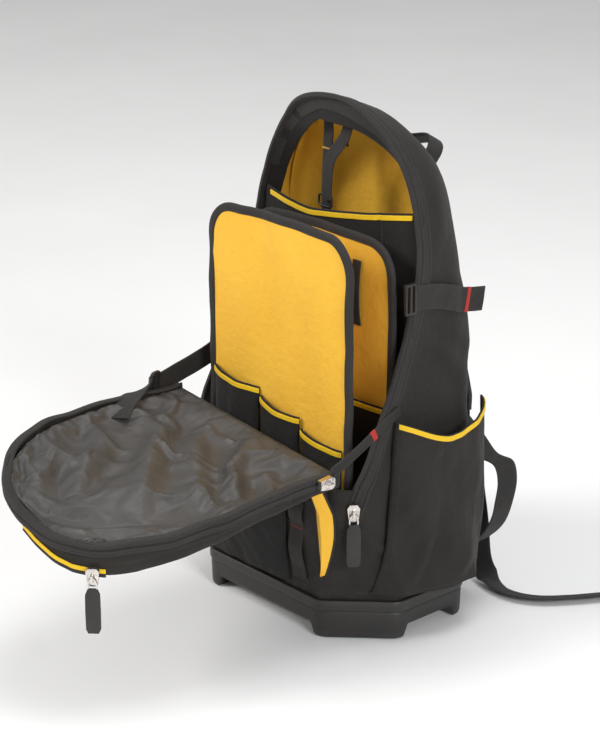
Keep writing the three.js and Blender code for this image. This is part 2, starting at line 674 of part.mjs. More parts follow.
// A point of the flap from its place across, its distance from the root and its depth under the rim.
// The rim is rolled to the right, twists more towards the tip, droops and swings a little to the left.
function flapPoint(x, along, depth) {
  const t = along / flap.length;
  const rim = flap.rimHeight - flap.roll * x * (1 + flap.twist * t * t) - flap.droop * t * t;
  return vec(x - flap.yaw * t, flap.root - along, rim - depth);
}

// How deep the flap's side wall is along its outline.
const depthRows = [
  { u: 0, depth: 19 }, { u: 0.15, depth: 23 }, { u: 0.3, depth: 34 }, { u: 0.4, depth: 34 }, { u: 0.5, depth: 17 },
  { u: 0.6, depth: 17 }, { u: 0.75, depth: 24 }, { u: 1, depth: 28 },
];
const flapDepth = (u) => column(depthRows, 'u', 'depth', u);
const flapStations = [0, 0.06, 0.12, 0.18, 0.24, 0.3, 0.35, 0.4, 0.44, 0.47, 0.49];

function flapLoop(inset, share, lift = 0, rootShift = 0) {
  const all = [...flapStations, ...flapStations.map((u) => 1 - u).reverse()];
  return all.map((u, i) => {
    const [x, along] = flapOutline(u, inset);
    const isRoot = i === 0 || i === all.length - 1;
    return flapPoint(x, isRoot ? along - rootShift : along, flapDepth(u) * share - lift);
  });
}

const flapOuter = loft([flapLoop(11, 1.03), flapLoop(1.5, 0.94), flapLoop(0, 0.5), flapLoop(0, 0)]);
const flapHollow = loft([
  flapLoop(12, 1.03, clothWall, -clothWall), flapLoop(1.5 + clothWall, 0.94, clothWall, -clothWall),
  flapLoop(clothWall, 0.5, 0, -clothWall), flapLoop(clothWall, 0.45, 0, 9), flapLoop(clothWall, 0, 6, 9),
]);
add('flap_shell', cut(flapOuter, flapHollow), 'nylon');

function flapHalf(along, inset) {
  const straight = flap.length * flap.archStart;
  const half = flap.halfWidth - inset;
  if (along < straight) return half;
  const t = clamp01((along - straight) / (flap.length - straight - inset));
  return half * (1 - t ** flap.archPower) ** (1 / flap.archPower);
}
function flapLiningFace(u, v, back) {
  const inset = clothWall + seamGap + 1.1;
  const along = (flap.length - inset) * lerp(0.012, 0.975, Math.sin((v * Math.PI) / 2));
  const across = lerp(-1, 1, u);
  const x = across * flapHalf(along, inset);
  const sag = flap.sag * (1 - Math.abs(across) ** 3) * Math.sin(Math.PI * clamp01(0.12 + 0.88 * (1 - v)));
  return flapPoint(x, along, 3 + sag + (back ? 1.5 : 0));
}
add('flap_lining', slab((u, v) => flapLiningFace(u, v, false), (u, v) => flapLiningFace(u, v, true), 10, 12), 'lining');

function flapWallPoint(u, depth, lift) {
  const [x, along, [nx, ny]] = flapOutline(u, 0);
  const normal = vec(nx, -ny, 0);
  return { at: flapPoint(x, along, depth).add(normal.clone().multiplyScalar(lift)), normal };
}
function flapRibbon(depthAt, lift, width, thickness, first = 0.01, last = 0.99) {
  const inner = [...flapStations.slice(1), 0.5, ...flapStations.slice(1).map((u) => 1 - u).reverse()];
  const all = [first, ...inner.filter((u) => u > first && u < last), last];
  return ribbon(all.map((u) => {
    const { at, normal } = flapWallPoint(u, depthAt(u), lift + thickness / 2);
    return { at, across: vec(0, 0, 1), normal };
  }), width, thickness);
}
add('flap_zip_tape', cut(flapRibbon(() => 3.5, 0.5, flap.tape, flap.tapeThickness), flapOuter), 'tape');
add('flap_piping', cut(flapRibbon((u) => flapDepth(u) * 0.8, 0.2, piping.width, piping.thickness, 0.33, 0.5), flapOuter), 'yellow');

// The cloth hinge: up the front of the body, then forward under the flap's root.
const flapFloor = (x, along) => flapPoint(x, along, 1.03 * lerp(flapDepth(0), flapDepth(1), (flap.halfWidth - x) / (2 * flap.halfWidth))).z;
function hingeFace(u, v, back) {
  const x = lerp(-100, 100, u);
  const top = flapFloor(x, 12) - seamGap;
  const path = [
    [frontY(152) - 0.4, 151], [frontY(152) - 0.4, lerp(151, top, 0.6)], [flap.root - 0.2, top - 1.2], [flap.root - 8, top], [flap.root - 26, top + 0.2],
  ];
  const at = v * (path.length - 1);
  const i = Math.min(path.length - 2, Math.floor(at));
  const y = lerp(path[i][0], path[i + 1][0], at - i);
  const z = lerp(path[i][1], path[i + 1][1], at - i);
  const lean = clamp01(v * 1.6 - 0.5);
  return back ? vec(x, y - 1.8 * (1 - lean), z - 1.8 * lean) : vec(x, y, z);
}
add('flap_hinge', cut(slab((u, v) => hingeFace(u, v, false), (u, v) => hingeFace(u, v, true), 4, 8), bodyGrown, flapOuter), 'nylon');

// Zip sliders. Each is built at the origin lying against a wall that faces -Y, pull end down.

function sliderGeometry() {
  const { length, width, thickness, bridge, bridgeGap, bridgeWidth } = slider;
  const plan = [[-width / 2, length * 0.3], [-width * 0.32, length / 2], [width * 0.32, length / 2], [width / 2, length * 0.3],
    [width * 0.36, -length / 2], [-width * 0.36, -length / 2]];
  const plate = standing(plan, -thickness / 2, thickness);
  const out = thickness + bridgeGap + bridge;
  const arch = [[0, length * 0.36], [out, length * 0.2], [out, -length * 0.2], [0, -length * 0.36]];
  const inner = [[-1, length * 0.24], [out - bridge, length * 0.12], [out - bridge, -length * 0.12], [-1, -length * 0.24]];
  const turned = new THREE.Matrix4().makeBasis(vec(0, -1, 0), vec(0, 0, 1), vec(-1, 0, 0));
  const solidArch = prism(arch, bridgeWidth).applyMatrix4(turned).translate(bridgeWidth / 2, 0, 0);
  const room = prism(inner, 9).applyMatrix4(turned).translate(4.5, 0, 0);
  const window = cut(room, box(20, 2 * thickness - 1, 60));
  return cut(joined(plate, solidArch), window);
}

// The puller's metal link: an oblong ring that hangs in the slider's bridge. Grown, it cuts its own seat.
function linkGeometry(grow = 0) {
  const { linkWidth: w, linkBar: b, linkLength: l } = puller;
  const oval = (rx, ry) => range(16).map((i) => {
    const angle = (i / 16) * Math.PI * 2;
    return [rx * Math.cos(angle), ry * Math.sin(angle)];
  });
  const outer = standing(oval(w / 2 + grow, l / 2 + grow), 0, b + 2 * grow);
  return cut(outer, standing(oval(w / 2 - b - grow, l / 2 - b - grow), 0, 3 * b));
}

// The rubber grip: a tongue moulded round the lower end of the link, its head at z = 0.
function gripGeometry(linkAt) {
  const { gripWidth: w, gripLength: l, gripThickness: t } = puller;
  const right = [[w * 0.32, 0], [w / 2, -6], [w * 0.52, -l * 0.5], [w / 2, -l + 4], [w * 0.36, -l]];
  const left = right.map(([x, z]) => [-x, z]).reverse();
  return cut(standing([...left, ...right].reverse(), 0, t), linkGeometry(seamGap).translate(0, 0, linkAt));
}

function addZip(name, at, turn) {
  const place = (geometry) => geometry.applyMatrix4(new THREE.Matrix4().makeRotationZ(turn)).translate(at.x, at.y, at.z);
  const hang = -(slider.thickness + slider.bridgeGap / 2);
  const linkMiddle = -puller.linkLength / 2 + puller.linkBar + 0.9 - slider.length * 0.12;
  const gripTop = linkMiddle - puller.linkLength / 2 + puller.linkBar + 4.6;
  add(`${name}_slider`, place(sliderGeometry()), 'metal');
  add(`${name}_link`, place(linkGeometry().translate(0, hang, linkMiddle)), 'metal');
  add(`${name}_puller`, place(gripGeometry(linkMiddle - gripTop).translate(0, hang, gripTop)), 'rubber');
}
// The main slider is parked low on the right, on the lower end of the opening's tape.
const parkZ = 150;
const parkY = -89;
const cornerTurn = Math.asin(clamp01(1 - (parkY - bodyAt(parkZ).front) / bodyAt(parkZ).corner));
const parkTurn = Math.PI / 2 - cornerTurn;
const parkLift = tapeSkin + seamGap + 0.1;
addZip('main_zip', vec(sideX(parkY, parkZ) + parkLift * Math.sin(parkTurn), parkY - parkLift * Math.cos(parkTurn), parkZ), parkTurn);

const pocketZipAt = flapWallPoint(0.364, 31, 2.0);
addZip('pocket_zip', pocketZipAt.at, Math.atan2(pocketZipAt.normal.x, -pocketZipAt.normal.y));
add('flap_zip_slider', cut(sliderGeometry().applyMatrix4(new THREE.Matrix4().makeRotationY(Math.PI / 2))
  .applyMatrix4(new THREE.Matrix4().makeRotationZ(Math.PI / 2))
  .translate(flap.halfWidth + 3.5, flap.root - 24, flapPoint(flap.halfWidth, 24, 3.5).z), flapOuter), 'metal');

// Webbing on the sides

const onSide = (sign, y, z, lift) => vec(sign * (sideX(y, z) + lift), y, z);
const bandLift = webbing.thickness / 2 + 0.9;
for (const [side, sign] of [['right', 1], ['left', -1]]) {
  const path = [[-12, 358], [4, 356], [24, 352], [44, 346], [58, 341]];
  const points = [...path.map(([y, z]) => onSide(sign, y, z, bandLift)), vec(sign * 124, 88, 336)];
  add(`compression_strap_${side}`, cut(strap(points, 10, () => vec(0, 0, 1), 26), tapeGrown), 'tape');
  const ringAt = onSide(sign, -20, 359, bandLift + 0.4);
  const ring = cut(box(4, 15, 32, ringAt.toArray()), box(9, 3.6, 27, ringAt.clone().add(vec(0, 3.2, 0)).toArray()),
    box(9, 3.6, 27, ringAt.clone().add(vec(0, -3.2, 0)).toArray()), tapeGrown);
  add(`compression_ring_${side}`, cut(ring, grownStrap(points)), 'plastic');
}
function grownStrap(points) {
  return strap(points, 10, () => vec(0, 0, 1), 26 + 2 * seamGap, webbing.thickness + 2 * seamGap);
}

// The strap that holds the flap on the left, with its three-bar glide, and the thin stay on the right

const stayRows = [[-212, 219, 9.2], [-186, 219, 8.2], [-150, 221, 6.9], [-115, 226, 5.8], [-76, 241, 5.4], [-42, 256, 4.9]];
const stayPoints = stayRows.map(([y, z, out]) => vec(-flap.halfWidth - out, y, z));
add('flap_stay_left', cut(strap(stayPoints, 12, () => vec(0, 0, 1), 23, 1.8), tapeGrown, flapOuter), 'tape');
const glideBox = (y, z, at) => box(3.6, y, z, at);
const glideAt = [-flap.halfWidth - 10.3, -150, 221];
add('flap_stay_glide', cut(glideBox(22, 38, glideAt), ...[-5.5, 5.5].map((dy) => box(9, 3.6, 30, [glideAt[0], glideAt[1] + dy, glideAt[2]]))), 'plastic');
const thinStay = [vec(128.1, -124, 203), vec(131, -98, 216), vec(131.5, -66, 233), onSide(1, -48, 241, 1.9), onSide(1, -34, 246, 1.9)];
add('flap_stay_right', cut(strap(thinStay, 8, () => vec(0, 0, 1), 11, 1.6), tapeGrown, flapOuter, sidePocketGeometry(1)), 'tape');

// The carry handle and the wearer's side: back pad, shoulder straps and their webbing

const backY = (z) => bodyAt(z).back;
const handleRows = [[57, 66, 462], [55, 79, 480], [42, 88, 496], [0, 92, 504], [-42, 88, 496], [-55, 79, 480], [-57, 66, 462]];
const handlePath = handleRows.map(([x, y, z]) => vec(x, y, z));
add('carry_handle', cut(strap(handlePath, 18, () => vec(0, 1, -0.6), 22, 3.4), bodyGrown), 'tape');

function padHalf(z) {
  const s = bodyAt(z);
  return Math.min(backPad.halfWidth, sideX(s.back - s.corner, z) - s.corner - 4);
}
function backPadFace(u, v, back) {
  const z = lerp(backPad.low, backPad.top - 12, v);
  const rim = Math.min(1, 6 * Math.min(u, 1 - u), 8 * Math.min(v, 1 - v));
  const out = back ? 0.9 : 3 + (backPad.thickness - 2) * Math.sqrt(rim);
  return vec(lerp(-1, 1, u) * padHalf(z), backY(z) + out, z);
}
const padGeometry = cut(slab((u, v) => backPadFace(u, v, false), (u, v) => backPadFace(u, v, true), 8, 9), bodyGrown);
add('back_pad', padGeometry, 'mesh');

const strapTop = 436;
const strapEnd = 186;
for (const [side, sign] of [['right', 1], ['left', -1]]) {
  const y = (z) => backY(z) + backPad.thickness + 3.2 + shoulder.thickness / 2;
  const rows = [[30, 436, -4.2], [30, 404, 0.5], [36, 330, 8], [46, 268, 9], [58, 218, 6], [67, strapEnd, 3]];
  const path = rows.map(([x, z, out]) => vec(sign * x, y(z) + out, z));
  add(`shoulder_strap_${side}`, cut(strap(path, 12, () => vec(1, 0, 0), shoulder.width, shoulder.thickness), padGeometry, bodyGrown), 'mesh');
  const end = path[path.length - 1];
  const loop = [
    vec(sign * 66, end.y + 4, strapEnd - 1.8), vec(sign * 96, end.y + 4, 164), vec(sign * 122, 104, 158), vec(sign * 148, 101, 157),
    vec(sign * 159, 100, 140), vec(sign * 156, 99, 114), vec(sign * 143, 98, 88), vec(sign * 127, 97, 68), vec(sign * 110, 92, 54),
  ];
  const loopStrap = strap(loop, 20, (t) => vec(0.5 * sign * (1 - t), 1, 0), 24, 1.8);
  add(`lower_webbing_${side}`, cut(loopStrap, bodyGrown, sidePocketGeometry(sign)), 'tape');
}

// The strap's free end: down from the lower end of the right shoulder strap and out along the floor.
const tailRows = [
  [86, 114, 161.2], [89, 120, 120], [94, 126, 70], [98, 126, 28], [108, 127, 8], [134, 118, 1.6], [156, 117, 1.2],
  [178, 127, 1.2], [200, 155, 1.2], [217, 184, 1.2], [232, 212, 1.2],
];
const tail = tailRows.map(([x, y, z]) => vec(x, y, z));
add('strap_tail_right', strap(tail, 24, (t) => (t < 0.5 ? vec(1, 0.2, 0) : vec(-0.5, 1, 0)), 24, 1.8), 'tape');

// The part's origin is the middle of its bounding box at the height of its base.
const bounds = new THREE.Box3().setFromObject(bagFrame);
const centre = bounds.getCenter(vec(0, 0, 0));
bagFrame.position.set(-centre.x, -centre.y, -bounds.min.z);

export default part;
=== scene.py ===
"""The looks of an open tool backpack: a moulded tray with four feet, an arched cloth body, a front
flap folded down, yellow divider panels with pockets, straps, webbing and hanging zip pullers.

Shapes are worked out in millimetres in the bag's own frame, whose origin is the middle of the tray
at the floor, with the opening towards -Y. They are moved into the shared frame, in metres, when a
mesh is made.
"""

from __future__ import annotations

import logging
import math
from dataclasses import dataclass
from enum import Enum
from typing import Sequence

import bpy
import numpy as np
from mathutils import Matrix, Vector


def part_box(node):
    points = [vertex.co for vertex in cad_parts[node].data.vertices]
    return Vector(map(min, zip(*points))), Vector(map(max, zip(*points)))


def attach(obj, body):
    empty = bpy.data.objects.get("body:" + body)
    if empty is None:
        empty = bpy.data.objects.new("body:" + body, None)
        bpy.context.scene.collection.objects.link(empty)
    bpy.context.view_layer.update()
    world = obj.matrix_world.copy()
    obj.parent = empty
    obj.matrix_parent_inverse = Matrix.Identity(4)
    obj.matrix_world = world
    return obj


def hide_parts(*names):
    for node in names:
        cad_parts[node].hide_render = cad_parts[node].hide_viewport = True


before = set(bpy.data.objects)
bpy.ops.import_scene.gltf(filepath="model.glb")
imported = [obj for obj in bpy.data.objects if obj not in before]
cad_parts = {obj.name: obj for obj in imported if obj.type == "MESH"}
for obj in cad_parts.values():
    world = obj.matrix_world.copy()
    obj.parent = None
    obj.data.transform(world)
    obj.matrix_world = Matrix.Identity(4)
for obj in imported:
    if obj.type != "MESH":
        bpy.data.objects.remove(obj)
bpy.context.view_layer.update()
log = logging.getLogger("tool_backpack")

Array = np.ndarray
MM = 0.001
PACK = "pack"
UP = (0.0, 0.0, 1.0)
FRONT = (0.0, -1.0, 0.0)
BACK = (0.0, 1.0, 0.0)
RIGHT = (1.0, 0.0, 0.0)
TRIM_WIDTH, TRIM_THICKNESS = 5.4, 1.5
WEBBING_THICKNESS = 1.8


def tray_centre() -> Array:
    """Gives the tray's middle at the floor, in metres in the shared frame."""
    low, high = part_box("base_tray")
    return np.array([(low.x + high.x) / 2, (low.y + high.y) / 2, low.z])


TRAY_CENTRE = tray_centre()


# Shapes


@dataclass
class Shape:
    """A mesh before it is placed: points in millimetres, faces, and one UV pair a face corner, in metres."""

    points: Array
    faces: list[list[int]]
    uvs: Array


def grid_shape(
    grid: Array, close_u: bool = False, close_v: bool = False, keep: Array | None = None, flip: bool = False
) -> Shape:
    """Turns a grid of points into quads, with UVs that are the lengths run along the grid's two ways.

    Args:
        grid: Points, rows by columns by 3.
        close_u: Joins the last row to the first.
        close_v: Joins the last column to the first.
        keep: Which faces stay, rows by columns of faces.
        flip: Turns the faces round.

    Returns:
        The shape, without points that no face uses.
    """
    nu, nv = grid.shape[:2]
    wide = np.concatenate([grid, grid[:1]], 0) if close_u else grid
    wide = np.concatenate([wide, wide[:, :1]], 1) if close_v else wide
    along_u = np.zeros(wide.shape[:2])
    along_v = np.zeros(wide.shape[:2])
    along_u[1:] = np.cumsum(np.linalg.norm(np.diff(wide, axis=0), axis=2), 0)
    along_v[:, 1:] = np.cumsum(np.linalg.norm(np.diff(wide, axis=1), axis=2), 1)
    i, j = np.meshgrid(np.arange(wide.shape[0] - 1), np.arange(wide.shape[1] - 1), indexing="ij")
    corners = [(i, j), (i + 1, j), (i + 1, j + 1), (i, j + 1)]
    if flip:
        corners = corners[::-1]
    index = np.stack([(a % nu) * nv + b % nv for a, b in corners], -1)
    uv = np.stack([np.stack([along_u[a, b], along_v[a, b]], -1) for a, b in corners], 2) * MM
    mask = np.ones(i.shape, bool) if keep is None else keep
    chosen = index[mask]
    used, renamed = np.unique(chosen, return_inverse=True)
    return Shape(grid.reshape(-1, 3)[used], renamed.reshape(-1, 4).tolist(), uv[mask].reshape(-1, 2))


def grid_volume(grid: Array, close_u: bool, close_v: bool) -> float:
    """Sums the corner products of a closed grid about its middle: positive where the faces point outwards."""
    g = grid - grid.reshape(-1, 3).mean(0)
    g = np.concatenate([g, g[:1]], 0) if close_u else g
    g = np.concatenate([g, g[:, :1]], 1) if close_v else g
    a, b, c, d = g[:-1, :-1], g[1:, :-1], g[1:, 1:], g[:-1, 1:]
    return float(np.sum(a * np.cross(b, c)) + np.sum(a * np.cross(c, d)))


def grid_normals(grid: Array) -> Array:
    """Gives each grid point's unit normal, the cross product of the ways along rows and columns."""
    n = np.cross(np.gradient(grid, axis=0), np.gradient(grid, axis=1))
    return n / np.maximum(np.linalg.norm(n, axis=2, keepdims=True), 1e-9)


def facing(grid: Array, towards: Sequence[float]) -> bool:
    """Tells whether an open grid has to be turned round to face a direction."""
    return float(np.sum(grid_normals(grid) * np.asarray(towards, float))) < 0


def points_out(grid: Array, ring: int = 40) -> bool:
    """Tells whether the normals of a grid of rings point away from the middle of one of its low rings."""
    line = grid[ring]
    return float(np.sum(grid_normals(grid)[ring] * (line - line.mean(0)))) >= 0


def alike(way: Sequence[float], line: Array) -> Array:
    """Gives one direction at every place of a line."""
    return np.broadcast_to(np.array(way, float), line.shape)


def tube(rings: Array, close_path: bool = False) -> Shape:
    """Skins closed rings one after the other and caps both ends with a face each.

    Args:
        rings: Stations by ring points by 3.
        close_path: Joins the last ring to the first, without caps.

    Returns:
        A closed shape whose faces point outwards.
    """
    turned = grid_volume(rings, close_path, True) < 0
    body = grid_shape(rings, close_path, True, flip=turned)
    if close_path:
        return body
    count = rings.shape[1]
    first, last = list(range(count)), list(range((rings.shape[0] - 1) * count, rings.shape[0] * count))
    caps = [first[::-1], last] if turned else [first, last[::-1]]
    uvs = [body.uvs] + [(rings.reshape(-1, 3)[cap][:, :2]) * MM for cap in caps]
    return Shape(body.points, body.faces + caps, np.concatenate(uvs))


# Numbers and curves


def lerp(a: Array | float, b: Array | float, t: Array | float) -> Array | float:
    """Goes from a to b by the share t."""
    return a + (b - a) * t


def ease(t: Array | float) -> Array | float:
    """Rises smoothly from 0 to 1: three t squared less two t cubed, held outside."""
    t = np.clip(t, 0, 1)
    return t * t * (3 - 2 * t)


def unit(v: Array) -> Array:
    """Scales vectors to length one."""
    return v / np.maximum(np.linalg.norm(v, axis=-1, keepdims=True), 1e-9)


def tangents(path: Array) -> Array:
    """Gives the unit direction along a path at each station."""
    return unit(np.gradient(path, axis=0))


def crossed(one: tuple[float, float, int], two: tuple[float, float, int]) -> Sequence[Array]:
    """Crosses two even runs, each a start, an end and a count, into a grid of pairs."""
    return np.meshgrid(np.linspace(*one), np.linspace(*two), indexing="ij")


def smooth_path(points: Sequence[Sequence[float]], count: int) -> Array:
    """Runs a centripetal spline through points and spaces count stations evenly along it."""
    p = np.asarray(points, float)
    q = np.vstack([2 * p[0] - p[1], p, 2 * p[-1] - p[-2]])
    dense = []
    for k in range(len(p) - 1):
        four = q[k : k + 4]
        knots = np.concatenate([[0], np.cumsum(np.sqrt(np.linalg.norm(np.diff(four, axis=0), axis=1)))])
        t = np.linspace(knots[1], knots[2], 40)[:, None]

        def between(a: Array, b: Array, lo: int, hi: int) -> Array:
            """Blends two points or rows over the knots from lo to hi."""
            gap = knots[hi] - knots[lo]
            return (knots[hi] - t) / gap * a + (t - knots[lo]) / gap * b

        one, two, three = (between(four[n], four[n + 1], n, n + 1) for n in range(3))
        dense.append(between(between(one, two, 0, 2), between(two, three, 1, 3), 1, 2))
    return resampled(np.vstack(dense), count)


def resampled(line: Array, count: int) -> Array:
    """Spaces count points evenly along a polyline."""
    run = np.concatenate([[0], np.cumsum(np.linalg.norm(np.diff(line, axis=0), axis=1))])
    at = np.linspace(0, run[-1], count)
    return np.stack([np.interp(at, run, line[:, k]) for k in range(line.shape[1])], 1)


def path_frame(path: Array, hint: Array) -> tuple[Array, Array]:
    """Gives the width direction nearest to the hint, and the face normal, at each station of a path."""
    tangent = tangents(path)
    hint = np.broadcast_to(np.asarray(hint, float), path.shape)
    across = unit(hint - np.sum(hint * tangent, 1, keepdims=True) * tangent)
    return across, np.cross(tangent, across)


def flat_section(width: float, thickness: float) -> Array:
    """A flat band's section with round edges: 16 points, across and out of its face."""
    w, h = width / 2, thickness / 2
    top = [
        (w, 0), (w - 0.3 * h, 0.7 * h), (w - h, h), (w * 0.6, h * 0.96),
        (0, h), (-w * 0.6, h * 0.96), (-w + h, h), (-w + 0.3 * h, 0.7 * h),
    ]
    return np.array(top + [(-x, -y) for x, y in top])


def carried(path: Array, across: Array, normal: Array, section: Array) -> Array:
    """Carries a section along a path: the point plus its two numbers times across and normal."""
    s = section if section.ndim == 3 else section[None]
    return path[:, None] + s[..., :1] * across[:, None] + s[..., 1:2] * normal[:, None]


@dataclass(frozen=True)
class Ripple:
    """Soft random relief: the sum of seeded plane waves about one length, in millimetres."""

    seed: int
    length: float
    height: float
    count: int = 12

    def __call__(self, p: Array) -> Array:
        """Gives the relief at points."""
        rng = np.random.default_rng(self.seed)
        ways = unit(rng.normal(size=(self.count, 3)))
        ways = ways * (2 * math.pi / (self.length * rng.uniform(0.75, 1.6, (self.count, 1))))
        shift = rng.uniform(0, 2 * math.pi, self.count)
        return self.height * math.sqrt(2 / self.count) * np.sum(np.sin(p @ ways.T + shift), -1)


@dataclass(frozen=True)
class Crumple:
    """Sharp folds between soft facets: octaves of a height less a ripple's size, on warped ground."""

    seed: int
    length: float
    height: float
    octaves: int = 3

    def __call__(self, p: Array) -> Array:
        """Gives the relief at points."""
        ways = [Ripple(self.seed + 50 + k, self.length * 1.6, self.length * 0.22)(p) for k in range(3)]
        warp = np.stack(ways, -1)
        total = np.zeros(p.shape[:-1])
        for k in range(self.octaves):
            wave = Ripple(self.seed + k, self.length / 1.9**k, 1.0)(p + warp)
            total += (0.55 - np.abs(wave)) * self.height / 2.1**k
        return total


@dataclass(frozen=True)
class Crease:
    """A fold along a polyline in the plane of two coordinates: a rounded crest with a hollow beside it."""

    line: tuple[tuple[float, float], ...]
    width: float
    height: float

    def __call__(self, a: Array, b: Array) -> Array:
        """Gives the relief at places (a, b): a bell less half a bell beside it, fading at both ends."""
        p = np.stack([a, b], -1)
        line = resampled(np.asarray(self.line, float), 24)
        start, run = line[:-1], np.diff(line, axis=0)
        rel = p[..., None, :] - start
        t = np.clip(np.sum(rel * run, -1) / np.sum(run * run, -1), 0, 1)
        off = rel - t[..., None] * run
        far = np.linalg.norm(off, axis=-1)
        nearest = np.argmin(far, -1)
        d = np.take_along_axis(far, nearest[..., None], -1)[..., 0]
        at = (nearest + np.take_along_axis(t, nearest[..., None], -1)[..., 0]) / len(run)
        fade = np.sqrt(np.clip(np.sin(np.pi * np.clip(at, 0.02, 0.98)), 0, 1))
        w = self.width
        return self.height * fade * (np.exp(-((d / w) ** 2)) - 0.55 * np.exp(-(((d - 1.7 * w) / w) ** 2)))


# Finishes


class Weave(Enum):
    """How the surface of a cloth is made."""

    PLAIN = "plain"
    RIBBED = "ribbed"
    NET = "net"
    SMOOTH = "smooth"


class Tree:
    """Adds nodes to a node tree and joins their sockets."""

    def __init__(self, tree: bpy.types.NodeTree) -> None:
        """Keeps the tree."""
        self.tree = tree

    def node(self, kind: str, **settings: object) -> bpy.types.Node:
        """Adds a node of a kind and sets its own settings."""
        made = self.tree.nodes.new(kind)
        for name, value in settings.items():
            setattr(made, name, value)
        return made

    def feed(self, socket: bpy.types.NodeSocket, source: object) -> None:
        """Links a socket to another, or sets its value."""
        if isinstance(source, bpy.types.NodeSocket):
            self.tree.links.new(source, socket)
        else:
            socket.default_value = source

    def math(self, operation: str, a: object, b: object = 0.0, c: object = 0.0) -> bpy.types.NodeSocket:
        """Adds a Math node and gives its result."""
        made = self.node("ShaderNodeMath", operation=operation)
        for socket, source in zip(made.inputs, (a, b, c)):
            self.feed(socket, source)
        return made.outputs[0]

    def range(
        self, value: object, low: float, high: float, to_low: object, to_high: object
    ) -> bpy.types.NodeSocket:
        """Maps a value from one range to another and holds it there."""
        made = self.node("ShaderNodeMapRange")
        for socket, source in zip(made.inputs, (value, low, high, to_low, to_high)):
            self.feed(socket, source)
        return made.outputs[0]

    def mix(self, share: object, a: object, b: object) -> bpy.types.NodeSocket:
        """Mixes two colours by a share."""
        made = self.node("ShaderNodeMix", data_type="RGBA")
        for name, source in (("Factor_Float", share), ("A_Color", a), ("B_Color", b)):
            self.feed(next(s for s in made.inputs if s.identifier == name), source)
        return next(s for s in made.outputs if s.identifier == "Result_Color")

    def noise(
        self, vector: object, scale: object, detail: float = 3.0, roughness: float = 0.55
    ) -> bpy.types.NodeSocket:
        """Adds a noise and gives its value."""
        made = self.node("ShaderNodeTexNoise")
        self.feed(made.inputs["Vector"], vector)
        self.feed(made.inputs["Scale"], scale)
        made.inputs["Detail"].default_value = detail
        made.inputs["Roughness"].default_value = roughness
        return made.outputs[0]

    def bump(
        self, strength: float, distance: float, height: object, normal: object = None
    ) -> bpy.types.NodeSocket:
        """Adds a bump, over another one's normal where there is one, and gives its normal."""
        made = self.node("ShaderNodeBump")
        made.inputs["Strength"].default_value = strength
        made.inputs["Distance"].default_value = distance
        self.feed(made.inputs["Height"], height)
        if normal is not None:
            self.feed(made.inputs["Normal"], normal)
        return made.outputs[0]


def new_group(
    name: str, inputs: Sequence[tuple[str, str]], outputs: Sequence[tuple[str, str]]
) -> tuple[Tree, dict, dict]:
    """Starts a shader node group with named sockets.

    Args:
        name: The group's name.
        inputs: Names and socket types that come in.
        outputs: Names and socket types that go out.

    Returns:
        The group's tree, its incoming sockets by name, and its outgoing sockets by name.
    """
    group = bpy.data.node_groups.new(name, "ShaderNodeTree")
    for label, kind in inputs:
        group.interface.new_socket(label, in_out="INPUT", socket_type=kind)
    for label, kind in outputs:
        group.interface.new_socket(label, in_out="OUTPUT", socket_type=kind)
    tree = Tree(group)
    come, go = tree.node("NodeGroupInput"), tree.node("NodeGroupOutput")
    return tree, {s.name: s for s in come.outputs}, {s.name: s for s in go.inputs}


FLOAT, VECTOR = "NodeSocketFloat", "NodeSocketVector"


def weave_group(kind: Weave) -> bpy.types.NodeTree:
    """Builds the relief of a cloth. It puts out Height and Thread, both from 0 to 1.

    Plain: crossing threads, where sine of u times sine of v says which thread lies on top.
    Ribbed: fine ribs across the band with a slower lift along it. Net: round holes in rows.
    Smooth: the crossing threads alone, faint.
    """
    name = f"cloth_{kind.value}"
    if name in bpy.data.node_groups:
        return bpy.data.node_groups[name]
    inputs, outputs = [("UV", VECTOR), ("Threads", FLOAT)], [("Height", FLOAT), ("Thread", FLOAT)]
    tree, come, go = new_group(name, inputs, outputs)
    wobble = tree.node("ShaderNodeVectorMath", operation="MULTIPLY_ADD")
    soft = tree.node("ShaderNodeTexNoise")
    tree.feed(soft.inputs["Vector"], come["UV"])
    soft.inputs["Scale"].default_value = 260.0
    tree.feed(wobble.inputs[0], soft.outputs["Color"])
    wobble.inputs[1].default_value = (0.0003, 0.0003, 0.0)
    tree.feed(wobble.inputs[2], come["UV"])
    apart = tree.node("ShaderNodeSeparateXYZ")
    tree.feed(apart.inputs[0], wobble.outputs[0])
    turn = tree.math("MULTIPLY", come["Threads"], math.pi)
    u = tree.math("SINE", tree.math("MULTIPLY", apart.outputs[0], turn))
    v = tree.math("SINE", tree.math("MULTIPLY", apart.outputs[1], turn))
    if kind is Weave.RIBBED:
        rib = tree.math("ABSOLUTE", u)
        height = tree.math("MULTIPLY_ADD", tree.math("ABSOLUTE", v), 0.25, tree.math("MULTIPLY", rib, 0.75))
    elif kind is Weave.NET:
        knot = tree.math("MULTIPLY", tree.math("ABSOLUTE", u), tree.math("ABSOLUTE", v))
        height = tree.range(knot, 0.3, 0.55, 1.0, 0.0)
    elif kind is Weave.PLAIN:
        over = tree.math("MULTIPLY_ADD", tree.math("MULTIPLY", u, v), 0.5, 0.5)
        ridge = tree.math("MULTIPLY", tree.math("ABSOLUTE", u), tree.math("ABSOLUTE", v))
        height = tree.math("MULTIPLY_ADD", ridge, 0.5, tree.math("MULTIPLY", over, 0.5))
    else:
        height = tree.math("MULTIPLY_ADD", tree.math("MULTIPLY", u, v), 0.2, 0.5)
    tree.feed(go["Height"], height)
    tree.feed(go["Thread"], height)
    return tree.tree


